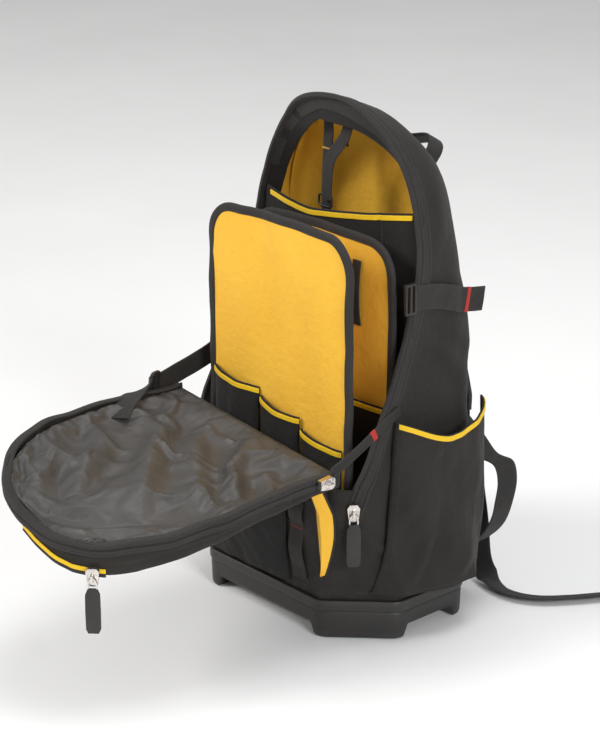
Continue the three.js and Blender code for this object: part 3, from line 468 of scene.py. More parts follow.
def mottle_group() -> bpy.types.NodeTree:
    """Builds slow and fine variation from Object coordinates: Broad and Fine, both about 0 to 1."""
    if "mottle" in bpy.data.node_groups:
        return bpy.data.node_groups["mottle"]
    outputs = [("Broad", FLOAT), ("Fine", FLOAT)]
    tree, come, go = new_group("mottle", [("Scale", FLOAT)], outputs)
    place = tree.node("ShaderNodeTexCoord").outputs["Object"]
    tree.feed(go["Broad"], tree.range(tree.noise(place, come["Scale"], 4.0), 0.3, 0.7, 0.0, 1.0))
    fine = tree.noise(place, tree.math("MULTIPLY", come["Scale"], 14.0), 3.0, 0.65)
    tree.feed(go["Fine"], tree.range(fine, 0.25, 0.75, 0.0, 1.0))
    return tree.tree


def wear_and_highlight_group() -> bpy.types.NodeTree:
    """Builds the mask of rubbed edges and of painted highlights on the tray's edges: the mesh's own attribute
    broken up by noise.
    """
    if "rubbed_and_highlighted_edges" in bpy.data.node_groups:
        return bpy.data.node_groups["rubbed_and_highlighted_edges"]
    tree, come, go = new_group("rubbed_and_highlighted_edges", [("Amount", FLOAT)], [("Mask", FLOAT)])
    wear_and_highlight_mask = tree.node("ShaderNodeAttribute", attribute_name="wear_and_highlight").outputs["Fac"]
    place = tree.node("ShaderNodeTexCoord").outputs["Object"]
    patches = tree.range(tree.noise(place, 90.0, 4.0, 0.7), 0.35, 0.65, 0.25, 1.0)
    tree.feed(go["Mask"], tree.math("MULTIPLY", tree.math("MULTIPLY", wear_and_highlight_mask, patches), come["Amount"]))
    return tree.tree


def placed_group(tree: Tree, group: bpy.types.NodeTree, **values: object) -> bpy.types.Node:
    """Places a node group in a tree and feeds its inputs."""
    made = tree.node("ShaderNodeGroup", node_tree=group)
    for name, value in values.items():
        tree.feed(made.inputs[name], value)
    return made


def blank_material(name: str) -> tuple[bpy.types.Material, Tree, bpy.types.Node]:
    """Starts a material and gives it, its tree and its Principled BSDF."""
    material = bpy.data.materials.new(name)
    material.use_nodes = True
    tree = Tree(material.node_tree)
    return material, tree, material.node_tree.nodes["Principled BSDF"]


@dataclass(frozen=True)
class Cloth:
    """A woven finish: its two tones, its threads a metre, and how deep and rough it is."""

    name: str
    slot: str
    dark: tuple[float, float, float]
    light: tuple[float, float, float]
    weave: Weave = Weave.PLAIN
    threads: float = 900.0
    relief: float = 0.25
    rough: tuple[float, float] = (0.78, 0.95)
    sheen: float = 0.15
    specular: float = 0.35
    crinkle: float = 0.35

    def build(self) -> bpy.types.Material:
        """Makes the material, or gives the one made before."""
        if self.name in bpy.data.materials:
            return bpy.data.materials[self.name]
        material, tree, shader = blank_material(self.name)
        uv = tree.node("ShaderNodeUVMap", uv_map="UVMap").outputs[0]
        woven = placed_group(tree, weave_group(self.weave), UV=uv, Threads=self.threads)
        mottle = placed_group(tree, mottle_group(), Scale=9.0)
        wear_and_highlight_mask = placed_group(tree, wear_and_highlight_group(), Amount=0.6)
        tone = tree.math("MULTIPLY", mottle.outputs["Fine"], 0.25)
        tone = tree.math("MULTIPLY_ADD", mottle.outputs["Broad"], 0.45, tone)
        tone = tree.math("MULTIPLY_ADD", woven.outputs["Thread"], 0.3, tone)
        colour = tree.mix(tone, (*self.dark, 1), (*self.light, 1))
        rubbed_and_highlight = tuple(min(1.0, c * 1.5 + 0.02) for c in self.light)
        tree.feed(shader.inputs["Base Color"], tree.mix(wear_and_highlight_mask.outputs["Mask"], colour, (*rubbed_and_highlight, 1)))
        tree.feed(shader.inputs["Roughness"], tree.range(mottle.outputs["Fine"], 0.0, 1.0, *self.rough))
        threads = tree.bump(self.relief, 0.0006, woven.outputs["Height"])
        crinkle = tree.bump(self.crinkle, 0.002, mottle.outputs["Fine"], threads)
        tree.feed(shader.inputs["Normal"], crinkle)
        shader.inputs["Specular IOR Level"].default_value = self.specular
        shader.inputs["Sheen Weight"].default_value = self.sheen
        shader.inputs["Sheen Roughness"].default_value = 0.5
        return material


@dataclass(frozen=True)
class Moulded:
    """A moulded finish such as plastic or rubber: two tones, fine grain and its roughness."""

    name: str
    slot: str
    dark: tuple[float, float, float]
    light: tuple[float, float, float]
    grain: float = 900.0
    relief: float = 0.2
    rough: tuple[float, float] = (0.45, 0.62)
    metal: float = 0.0

    def build(self) -> bpy.types.Material:
        """Makes the material, or gives the one made before."""
        if self.name in bpy.data.materials:
            return bpy.data.materials[self.name]
        material, tree, shader = blank_material(self.name)
        place = tree.node("ShaderNodeTexCoord").outputs["Object"]
        mottle = placed_group(tree, mottle_group(), Scale=12.0)
        wear_and_highlight_mask = placed_group(tree, wear_and_highlight_group(), Amount=0.7)
        colour = tree.mix(mottle.outputs["Broad"], (*self.dark, 1), (*self.light, 1))
        # Lighter tone where the mask is: rubbed wear, and on the tray's rim and band edges a painted
        # highlight.
        rubbed_and_highlight = tuple(min(1.0, c * 1.7 + 0.015) for c in self.light)
        tree.feed(shader.inputs["Base Color"], tree.mix(wear_and_highlight_mask.outputs["Mask"], colour, (*rubbed_and_highlight, 1)))
        tree.feed(shader.inputs["Roughness"], tree.range(mottle.outputs["Fine"], 0.0, 1.0, *self.rough))
        grain = tree.bump(self.relief, 0.0004, tree.noise(place, self.grain, 2.0, 0.6))
        tree.feed(shader.inputs["Normal"], grain)
        shader.inputs["Metallic"].default_value = self.metal
        return material


Finish = Cloth | Moulded

NYLON = Cloth(
    "black_polyester", "nylon", (0.0128, 0.0108, 0.0093), (0.0292, 0.0252, 0.022),
    relief=0.4, rough=(0.74, 0.92), sheen=0.06, specular=0.3,
)
NYLON_DARK = Cloth(
    "black_polyester_panel", "nylon", (0.008, 0.0074, 0.007), (0.019, 0.0175, 0.0162),
    relief=0.35, rough=(0.76, 0.94), sheen=0.05, specular=0.28,
)
LINING = Cloth(
    "grey_nylon_lining", "lining", (0.036, 0.0335, 0.0315), (0.066, 0.0618, 0.058), Weave.SMOOTH,
    threads=1400.0, relief=0.12, rough=(0.46, 0.6), sheen=0.0, specular=0.55, crinkle=0.15,
)
YELLOW = Cloth(
    "yellow_polyester", "yellow", (0.80, 0.405, 0.024), (0.94, 0.56, 0.055),
    rough=(0.66, 0.84), sheen=0.05, crinkle=0.3,
)
TRIM = Cloth(
    "yellow_trim_tape", "yellow", (0.68, 0.42, 0.006), (0.86, 0.56, 0.012), Weave.RIBBED,
    threads=800.0, rough=(0.5, 0.7), sheen=0.03, specular=0.4, crinkle=0.15,
)
WEBBING = Cloth(
    "black_webbing", "tape", (0.010, 0.0092, 0.0086), (0.027, 0.0246, 0.0228), Weave.RIBBED,
    threads=620.0, relief=0.6, rough=(0.66, 0.86), sheen=0.05, crinkle=0.2,
)
BINDING = Cloth(
    "black_binding_tape", "tape", (0.013, 0.0118, 0.0112), (0.033, 0.0302, 0.0288), Weave.RIBBED,
    relief=0.4, rough=(0.66, 0.86), sheen=0.05, crinkle=0.3,
)
NET = Cloth(
    "black_net", "mesh", (0.003, 0.0028, 0.0026), (0.024, 0.022, 0.0205), Weave.NET,
    threads=330.0, relief=0.8, rough=(0.8, 0.95), sheen=0.05, specular=0.3, crinkle=0.2,
)
AIR_MESH = Cloth(
    "padded_air_mesh", "mesh", (0.006, 0.0056, 0.0053), (0.024, 0.0222, 0.0208), Weave.NET,
    threads=300.0, relief=0.9, rough=(0.8, 0.95), sheen=0.1, specular=0.3, crinkle=0.2,
)
RED = Cloth(
    "red_thread", "tape", (0.30, 0.012, 0.010), (0.48, 0.030, 0.022), Weave.RIBBED,
    threads=1200.0, relief=0.3, rough=(0.6, 0.8), sheen=0.05, specular=0.4, crinkle=0.1,
)
THREAD = Moulded(
    "black_sewing_thread", "nylon", (0.022, 0.020, 0.0185), (0.05, 0.046, 0.043), 2500.0, 0.1, (0.5, 0.7)
)
YELLOW_THREAD = Moulded(
    "yellow_sewing_thread", "yellow", (0.55, 0.33, 0.03), (0.80, 0.55, 0.08), 2500.0, 0.1, (0.5, 0.7)
)
RUBBER = Moulded(
    "moulded_rubber", "rubber", (0.0135, 0.0122, 0.0112), (0.023, 0.021, 0.0192), 1100.0, 0.35, (0.38, 0.52)
)
PLASTIC = Moulded(
    "black_plastic", "plastic", (0.011, 0.0102, 0.0096), (0.022, 0.0204, 0.0192), 700.0, 0.12, (0.3, 0.45)
)
NICKEL = Moulded(
    "nickel", "metal", (0.55, 0.515, 0.48), (0.78, 0.74, 0.70), 500.0, 0.05, (0.2, 0.36), 1.0
)


# Making pieces


def put(
    name: str, shape: Shape, finish: Finish, stands_for: Sequence[str] = (), body: str = PACK,
    wall: float = 0.0, sharp: float = 40.0, wear_and_highlight: Array | None = None,
) -> bpy.types.Object:
    """Makes a piece from a shape, in its place, and lets it ride on its body.

    Args:
        name: The piece's name.
        shape: Its mesh in millimetres in the bag's frame.
        finish: What it is made of.
        stands_for: CAD nodes that it replaces.
        body: The CAD body that it rides on.
        wall: Thickness given to an open surface, behind its faces, in millimetres.
        sharp: Edges over this angle, in degrees, stay sharp.
        wear_and_highlight: How rubbed each point is, and on the tray's rim and band edges how much painted
            highlight it gets, from 0 to 1.

    Returns:
        The object.
    """
    mesh = bpy.data.meshes.new(name)
    mesh.from_pydata((shape.points * MM + TRAY_CENTRE).tolist(), [], shape.faces)
    mesh.uv_layers.new(name="UVMap").data.foreach_set("uv", shape.uvs.astype(np.float32).ravel())
    if wear_and_highlight is not None:
        rubbed_and_highlight = mesh.attributes.new("wear_and_highlight", "FLOAT", "POINT")
        rubbed_and_highlight.data.foreach_set("value", wear_and_highlight.astype(np.float32).ravel())
    mesh.polygons.foreach_set("use_smooth", np.ones(len(mesh.polygons), bool))
    mesh.set_sharp_from_angle(angle=math.radians(sharp))
    mesh.materials.append(finish.build())
    mesh.validate()
    piece = bpy.data.objects.new(name, mesh)
    bpy.context.scene.collection.objects.link(piece)
    if wall:
        solid = piece.modifiers.new("wall", "SOLIDIFY")
        solid.thickness = wall * MM
        solid.offset = -1
    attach(piece, body)
    if stands_for:
        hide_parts(*stands_for)
    log.info("%s: %d faces", name, len(mesh.polygons))
    return piece


def open_sheet(
    name: str, grid: Array, finish: Finish, towards: Sequence[float], stands_for: Sequence[str] = (),
    wall: float = 2.0, keep: Array | None = None,
) -> bpy.types.Object:
    """Makes a cloth wall whose visible side faces a direction."""
    flip = facing(grid, towards)
    return put(name, grid_shape(grid, keep=keep, flip=flip), finish, stands_for, wall=wall)


def softened(
    name: str, node: str, finish: Finish, bevel: float, segments: int = 3, body: str = PACK
) -> bpy.types.Object:
    """Copies a hard CAD solid, joins its loose triangles, rounds its edges and lets it replace the node."""
    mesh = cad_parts[node].data.copy()
    mesh.name = name
    piece = bpy.data.objects.new(name, mesh)
    bpy.context.scene.collection.objects.link(piece)
    join = piece.modifiers.new("join", "WELD")
    join.merge_threshold = 0.00002
    flat = piece.modifiers.new("flat", "DECIMATE")
    flat.decimate_type = "DISSOLVE"
    flat.angle_limit = math.radians(1.5)
    edge = piece.modifiers.new("edge", "BEVEL")
    edge.width = bevel * MM
    edge.segments = segments
    edge.limit_method = "ANGLE"
    edge.angle_limit = math.radians(25)
    mesh.materials.clear()
    mesh.materials.append(finish.build())
    mesh.polygons.foreach_set("use_smooth", np.ones(len(mesh.polygons), bool))
    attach(piece, body)
    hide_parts(node)
    log.info("%s: rounded copy of %s", name, node)
    return piece


def band(
    name: str, points: Sequence[Sequence[float]], hint: Array | Sequence[float], width: float,
    thickness: float, finish: Finish, stands_for: Sequence[str] = (), count: int = 90,
    wave: float = 0.25, seed: int = 3,
) -> tuple[bpy.types.Object, Array, Array, Array]:
    """Makes a strap of webbing along a smooth path, with slightly wandering edges.

    Args:
        name: The piece's name.
        points: Places that the strap's middle goes through.
        hint: The direction that its width lies nearest to, one or one a station.
        width: Its width in millimetres.
        thickness: Its thickness in millimetres.
        finish: What it is made of.
        stands_for: CAD nodes that it replaces.
        count: Stations along it.
        wave: How far its face and edges wander, in millimetres.
        seed: Seed of the wandering.

    Returns:
        The object, its path, and the width and face directions along it.
    """
    path = smooth_path(points, count)
    across, normal = path_frame(path, np.asarray(hint, float))
    path = path + across * Ripple(seed, 60, wave)(path)[:, None]
    section = flat_section(width, thickness)
    rings = carried(path, across, normal, section)
    rings = rings + normal[:, None] * Ripple(seed + 1, 26, wave * 0.6)(rings)[..., None]
    wear_and_highlight_mask = np.tile(np.exp(-((width / 2 - np.abs(section[:, 0])) / 1.2) ** 2) * 0.5, count)
    return put(name, tube(rings), finish, stands_for, wear_and_highlight=wear_and_highlight_mask), path, across, normal


def stitches(
    name: str, path: Array, across: Array, normal: Array, offset: float, lift: float, finish: Finish = THREAD,
    pitch: float = 4.2, length: float = 3.0, radius: float = 0.36,
) -> bpy.types.Object:
    """Sews a row of stitches along a path: short rounded threads, each a ring of six points at four stations.

    Args:
        name: The piece's name.
        path: Places along the seam.
        across: Width direction at each place.
        normal: Outward direction at each place.
        offset: How far the row lies from the path along the width.
        lift: How far its middle stands out.
        finish: What it is made of.
        pitch: Distance from one stitch to the next.
        length: Length of a stitch.
        radius: Half its thickness.

    Returns:
        The object.
    """
    line = path + across * offset + normal * lift
    run = float(np.sum(np.linalg.norm(np.diff(line, axis=0), axis=1)))
    count = max(2, int(run / pitch))
    both = resampled(np.hstack([line, normal]), 2 * count + 1)
    at, out = both[1::2, :3], unit(both[1::2, 3:])
    way = unit(both[2::2, :3] - both[:-1:2, :3])
    side = np.cross(out, way)
    steps = np.array([-0.5, -0.3, 0.3, 0.5]) * length
    rounds = np.array([0.45, 1.0, 1.0, 0.45]) * radius
    angle = np.arange(6) / 6 * 2 * math.pi
    ring = np.stack([np.cos(angle), np.sin(angle) * 0.8], 1)
    p = (
        at[:, None, None] + way[:, None, None] * steps[None, :, None, None]
        + side[:, None, None] * (ring[:, 0] * rounds[:, None])[None, ..., None]
        + out[:, None, None] * (ring[:, 1] * rounds[:, None])[None, ..., None]
    )
    sides = [(k, i, (i + 1) % 6) for k in range(3) for i in range(6)]
    faces = [[k * 6 + i, k * 6 + j, (k + 1) * 6 + j, (k + 1) * 6 + i] for k, i, j in sides]
    faces += [[5, 4, 3, 2, 1, 0], [18, 19, 20, 21, 22, 23]]
    everything = [[24 * n + k for k in face] for n in range(count) for face in faces]
    corners = sum(len(face) for face in faces) * count
    return put(name, Shape(p.reshape(-1, 3), everything, np.zeros((corners, 2))), finish)


def bar_ring(
    name: str, path: Array, radius: float, up: Sequence[float] | Array, finish: Finish = PLASTIC,
    stands_for: Sequence[str] = (),
) -> bpy.types.Object:
    """Makes a closed ring of round bar along a path that lies in the plane across a direction."""
    tangent = unit(np.roll(path, -1, 0) - np.roll(path, 1, 0))
    across = unit(np.cross(tangent, np.asarray(up, float)))
    angle = np.arange(12) / 12 * 2 * math.pi
    section = np.stack([np.cos(angle), np.sin(angle)], 1) * radius
    rings = carried(path, across, np.cross(tangent, across), section)
    return put(name, tube(rings, True), finish, stands_for)


def upright_tape(
    name: str, path: Array, width: float, thickness: float, finish: Finish, stands_for: Sequence[str] = ()
) -> None:
    """Lays a tape along a path, with its width upright and its face across the path."""
    across = alike(UP, path)
    normal = np.cross(tangents(path), across)
    put(name, tube(carried(path, across, normal, flat_section(width, thickness))), finish, stands_for)


def bar_before(place: Array, half: float, count: int) -> tuple[Array, Array, Array]:
    """Lays a short level line just before a place, for a bar tack, and gives its ways up and forward."""
    line = place + np.stack([np.linspace(-half, half, count), np.full(count, -1.3), np.zeros(count)], 1)
    return line, alike(UP, line), alike(FRONT, line)


def rounded_frame(
    centre: Array, across: Array, along: Array, width: float, length: float, count: int = 64
) -> Array:
    """Runs round a rounded rectangle: powers of cosine and sine times the two directions."""
    a = np.arange(count) / count * 2 * math.pi
    c, s = np.cos(a), np.sin(a)
    x, y = width / 2 * np.sign(c) * np.abs(c) ** 0.4, length / 2 * np.sign(s) * np.abs(s) ** 0.4
    return centre + x[:, None] * across + y[:, None] * along


def settled(grid: Array, growth: float, frames: int) -> Array:
    """Lets a cloth that is too large for the frame that holds its edges buckle into folds.

    Args:
        grid: The cloth's points in millimetres in the bag's frame, held along all four edges.
        growth: How much longer the cloth is than its frame, as a share.
        frames: Steps of the simulation.

    Returns:
        The points where the cloth has come to lie.
    """
    mesh = bpy.data.meshes.new("buckling_cloth")
    mesh.from_pydata((grid.reshape(-1, 3) * MM).tolist(), [], grid_shape(grid).faces)
    thing = bpy.data.objects.new("buckling_cloth", mesh)
    bpy.context.scene.collection.objects.link(thing)
    edge = np.zeros(grid.shape[:2], bool)
    edge[[0, -1]] = True
    edge[:, [0, -1]] = True
    held = thing.vertex_groups.new(name="held")
    held.add(np.flatnonzero(edge.ravel()).tolist(), 1.0, "REPLACE")
    cloth = thing.modifiers.new("cloth", "CLOTH")
    rules = cloth.settings
    rules.quality, rules.mass = 4, 0.15
    rules.tension_stiffness = rules.compression_stiffness = 14.0
    rules.shear_stiffness, rules.bending_stiffness = 5.0, 0.3
    rules.shrink_min = -growth
    rules.vertex_group_mass = "held"
    rules.effector_weights.gravity = 0.0
    cloth.collision_settings.use_collision = False
    cloth.point_cache.frame_start, cloth.point_cache.frame_end = 1, frames
    scene = bpy.context.scene
    for step in range(1, frames + 1):
        scene.frame_set(step)
    result = thing.evaluated_get(bpy.context.evaluated_depsgraph_get()).to_mesh()
    points = np.empty(len(result.vertices) * 3)
    result.vertices.foreach_get("co", points)
    scene.frame_set(1)
    bpy.data.objects.remove(thing)
    return points.reshape(grid.shape) / MM


# The bag's form, shared by the pieces


@dataclass(frozen=True)
class BagForm:
    """Sizes of the cloth body: heights and half sizes, and how they change from the tray to the top."""

    height: float = 541.0
    half: float = 134.0
    front: float = 105.0
    back: float = 90.0
    corner: float = 40.0
    spring: float = 350.0
    arch: float = 2.3
    ridge_drop: float = 27.0
    ridge_y: float = -12.0
    rim: float = 44.0
    sill: float = 176.0
    wall: float = 2.5
    # Share of the height from the rim, then the shares of half, front, back and corner, and the roundness.
    rows: tuple[tuple[float, ...], ...] = (
        (0, 1.045, 0.955, 1.11, 1.4, 0),
        (0.05, 1.03, 0.985, 1.1, 1.38, 0.3),
        (0.12, 1.01, 1.01, 1.07, 1.25, 0.65),
        (0.26, 0.978, 1, 1.02, 1, 1),
        (0.38, 0.955, 1, 0.97, 0.85, 1),
        (0.5, 0.94, 1, 0.9, 0.85, 1),
        (0.66, 0.93, 1, 0.87, 1.05, 1),
        (0.8, 0.925, 1, 0.86, 1.15, 1),
        (1, 0.92, 1, 0.86, 1.15, 1),
    )
    # Share of the height from the sill, then how far forward the opening's edge stands, as a share of front.
    edge_rows: tuple[tuple[float, float], ...] = (
        (-0.08, 0.93), (0, 0.86), (0.126, 0.64), (0.268, 0.4), (0.386, 0.225), (0.52, 0.09),
        (0.63, 0.03), (0.73, 0), (0.83, 0.01), (0.9, 0.03), (1, 0.12),
    )

    def at(self, z: Array | float, inset: float = 0.0) -> tuple[Array, ...]:
        """Gives half width, front, back, corner size and roundness at a height, drawn in by inset."""
        z = np.asarray(z, float)
        rows = np.array(self.rows)
        share = (z - self.rim) / (self.height - self.rim)
        half, front, back, corner, rounds = (np.interp(share, rows[:, 0], rows[:, k]) for k in range(1, 6))
        low = z <= self.rim
        half = np.where(low, 141.0, self.half * half)
        front = np.where(low, 100.0, self.front * front)
        back = np.where(low, 100.0, self.back * back)
        corner = np.where(low, 56.1, self.corner * corner)
        rounds = np.where(low, 0.0, rounds)
        return half - inset, -front + inset, back - inset, corner - inset * 0.586, rounds

    def ridge(self, y: Array, inset: float = 0.0) -> Array:
        """Gives the height of the arch's crown at a depth: level in front, then falling to the back."""
        drop = self.ridge_drop * np.clip((y - self.ridge_y) / (self.back * 0.78 - self.ridge_y), 0, 1)
        return self.height - drop - inset

    @staticmethod
    def drawn(share: Array, rounds: Array) -> Array:
        """Gives how far a corner draws in, from 1 at its start to 0: a chamfer that turns into an arc."""
        arc = 1 - np.sqrt(np.clip(1 - (1 - share) ** 2, 0, 1))
        return lerp(1 - share, arc, rounds)

    def side_x(self, y: Array, z: Array, inset: float = 0.0) -> Array:
        """Gives how far out the body's side stands at a place."""
        y, z = np.asarray(y, float), np.asarray(z, float)
        half, front, back, corner, rounds = self.at(z, inset)
        share = np.clip(np.minimum(y - front, back - y) / corner, 0, 1)
        drawn = corner * self.drawn(share, rounds)
        rise = self.ridge(y, inset) - drawn - self.spring
        sine = np.clip((z - self.spring) / rise, 0, 1) ** (self.arch / 2)
        upper = (half - drawn) * np.sqrt(1 - sine**2) ** (2 / self.arch)
        return np.where(z <= self.spring, half - drawn, upper)

    def edge_y(self, z: Array) -> Array:
        """Gives the depth of the opening's edge at a height."""
        rows = np.array(self.edge_rows)
        return -self.front * np.interp((z - self.sill) / (self.height - self.sill), rows[:, 0], rows[:, 1])

    def surface(self, inset: float = 0.0, bottom: float = 30.0, dense: float = 1.0) -> Array:
        """Works out the closed body as rings at rising levels, each from the front's middle right round.

        A ring's x is a share times the half width less the corner's draw, times a power of the cosine of
        the arch's angle. Its z rises with the same power of the sine, so the last ring closes on the ridge.

        Args:
            inset: Distance drawn in.
            bottom: Height of the lowest ring.
            dense: Factor on the number of points.

        Returns:
            Levels by ring points by 3.
        """
        straight = np.linspace(bottom, self.spring, int(100 * dense))
        angle = np.concatenate([np.zeros(len(straight)), np.linspace(0, math.pi / 2, int(62 * dense))[1:]])
        power = 2 / self.arch
        up, out = np.sin(angle) ** power, np.cos(angle) ** power
        out[-1] = 0.0
        nominal = np.concatenate([straight, self.spring + (self.height - self.spring) * up[len(straight) :]])
        half, front, back, corner, rounds = (a[:, None] for a in self.at(nominal, inset))
        face = np.linspace(0, 1, int(22 * dense))[None]
        phi = np.linspace(0, math.pi / 2, int(13 * dense))[None, 1:-1]
        share = 1 - np.cos(phi)
        side = np.linspace(0, 1, int(38 * dense))[None]
        bend = corner * self.drawn(share, rounds)
        y = np.hstack([
            front + 0 * face, front + share * corner, lerp(front + corner, back - corner, side),
            (back - share * corner)[:, ::-1], back + 0 * face,
        ])
        drawn = np.hstack([corner + 0 * face, bend, 0 * (side + corner), bend[:, ::-1], corner + 0 * face])
        ones = np.ones((len(angle), 1))
        full = 0 * share + 1
        fx = ones * np.hstack([face, full, 0 * side + 1, full, face[:, ::-1]])
        x = fx * (half - drawn) * out[:, None]
        z = self.spring + (self.ridge(y, inset) - drawn - self.spring) * up[:, None]
        z[: len(straight)] = straight[:, None]
        right = np.stack([x, y, z], -1)
        left = right[:, 1:-1][:, ::-1] * np.array([-1, 1, 1])
        return np.concatenate([right, left], 1)

    def edge_path(self, offset: float, count: int, low: float = 147.0, inset: float = 0.0) -> Array:
        """Follows the opening's edge, moved back by an offset, from its right foot to its left."""
        power = 2 / self.arch
        z = np.linspace(low - 6, self.height + 30, 500)
        y = self.edge_y(z)
        way = unit(np.stack([np.gradient(y), np.gradient(z)], 1))
        back_y, back_z = y + way[:, 1] * offset, z - way[:, 0] * offset

        def profile(level: Array) -> Array:
            """Gives the moved edge's depth at a level."""
            return np.interp(level, back_z, back_y)

        straight = np.linspace(low, self.spring, 300)
        lower = np.stack([self.side_x(profile(straight), straight, inset), profile(straight), straight], 1)
        angle = np.linspace(0, math.pi / 2, 300)[1:]
        height = self.spring + (self.height - self.spring) * np.sin(angle) ** power
        for _ in range(5):
            depth = profile(height)
            height = self.spring + (self.ridge(depth, inset) - self.spring) * np.sin(angle) ** power
        half = self.at(height, inset)[0]
        upper = np.stack([half * np.cos(angle) ** power, depth, height], 1)
        upper[-1, 0] = 0
        right = np.vstack([lower, upper])
        left = right[:-1][::-1] * np.array([-1, 1, 1])
        return resampled(np.vstack([right, left]), count)

    def outward(self, p: Array) -> Array:
        """Gives the body's outward direction at points near it, from the slope of its own formula.

        Below the spring it is the side's own slope. Above, it is the slope of the superellipse.
        """
        x, y, z = p[:, 0], p[:, 1], np.minimum(p[:, 2], self.spring)
        slope_y = (self.side_x(y + 1.5, z) - self.side_x(y - 1.5, z)) / 3
        slope_z = (self.side_x(y, z) - self.side_x(y, z - 3)) / 3
        sign = np.sign(x + 1e-9)
        low = np.stack([sign, -slope_y, -slope_z], 1)
        half = self.at(p[:, 2])[0]
        rise = self.ridge(y) - self.spring
        u, v = np.abs(x) / half, np.clip((p[:, 2] - self.spring) / rise, 0, 1)
        power = self.arch - 1
        high = np.stack([sign * u**power / half, np.zeros(len(p)), v**power / rise], 1)
        high[:, 1] = np.where(y > self.ridge_y, 0.35 * high[:, 2], 0.02 * high[:, 2])
        return np.where((p[:, 2] > self.spring)[:, None], unit(high), unit(low))


BAG = BagForm()


@dataclass(frozen=True)
class FlapForm:
    """Sizes of the folded-down flap: a shallow dish that rolls, twists, droops and swings."""

    root: float = -110.0
    length: float = 284.0
    half: float = 123.7
    rim: float = 212.4
    roll: float = 0.103
    twist: float = 2.587
    droop: float = 17.0
    yaw: float = 11.8
    arch_start: float = 0.295
    power: float = 2.13
    join: float = 0.76
    depth_rows: tuple[tuple[float, float], ...] = (
        (0, 19), (0.15, 23), (0.3, 34), (0.4, 34), (0.5, 17), (0.6, 17), (0.75, 24), (1, 28),
    )

    def outline(self, u: Array, inset: Array | float = 0.0) -> tuple[Array, Array, Array]:
        """Gives places across, distances from the root and outward ways, for u from the right to the left."""
        u = np.asarray(u, float)
        straight = self.length * self.arch_start
        round_part = self.length - straight - inset
        half = self.half - inset
        t = np.abs(2 * u - 1)
        sign = np.where(u < 0.5, 1.0, -1.0)
        angle = math.pi / 2 * (1 - np.minimum(t / self.join, 1))
        power = 2 / self.power
        x = half * np.cos(angle) ** power
        y = round_part * np.sin(angle) ** power
        on_side = t > self.join
        along = np.where(on_side, straight * (1 - t) / (1 - self.join), straight + y)
        nx = np.where(on_side, 1.0, np.cos(angle) ** (2 - power) / half)
        ny = np.where(on_side, 0.0, np.sin(angle) ** (2 - power) / round_part)
        size = np.hypot(nx, ny)
        across = sign * np.where(on_side, half, np.maximum(x, 0))
        return across, along, np.stack([sign * nx / size, ny / size], -1)

    def point(self, x: Array, along: Array, depth: Array | float) -> Array:
        """Places a point: the rim falls with x times the roll, more at the tip, and the depth hangs under."""
        t = along / self.length
        rim = self.rim - self.roll * x * (1 + self.twist * t * t) - self.droop * t * t
        return np.stack(np.broadcast_arrays(x - self.yaw * t, self.root - along, rim - depth), -1)

    def depth(self, u: Array) -> Array:
        """Gives the depth of the side wall along the outline."""
        rows = np.array(self.depth_rows)
        return np.interp(u, rows[:, 0], rows[:, 1])

    def half_at(self, along: Array, inset: float) -> Array:
        """Gives the half width at a distance from the root."""
        straight = self.length * self.arch_start
        t = np.clip((along - straight) / (self.length - straight - inset), 0, 1)
        return (self.half - inset) * (1 - t**self.power) ** (1 / self.power)

    def wall(self, u: Array, depth: Array, lift: Array | float) -> tuple[Array, Array]:
        """Gives places on the flap's outer wall and their outward directions."""
        x, along, way = self.outline(u)
        normal = np.stack([way[..., 0], -way[..., 1], np.zeros(way.shape[:-1])], -1)
        return self.point(x, along, depth) + normal * np.asarray(lift)[..., None], normal


FLAP = FlapForm()


# The tray


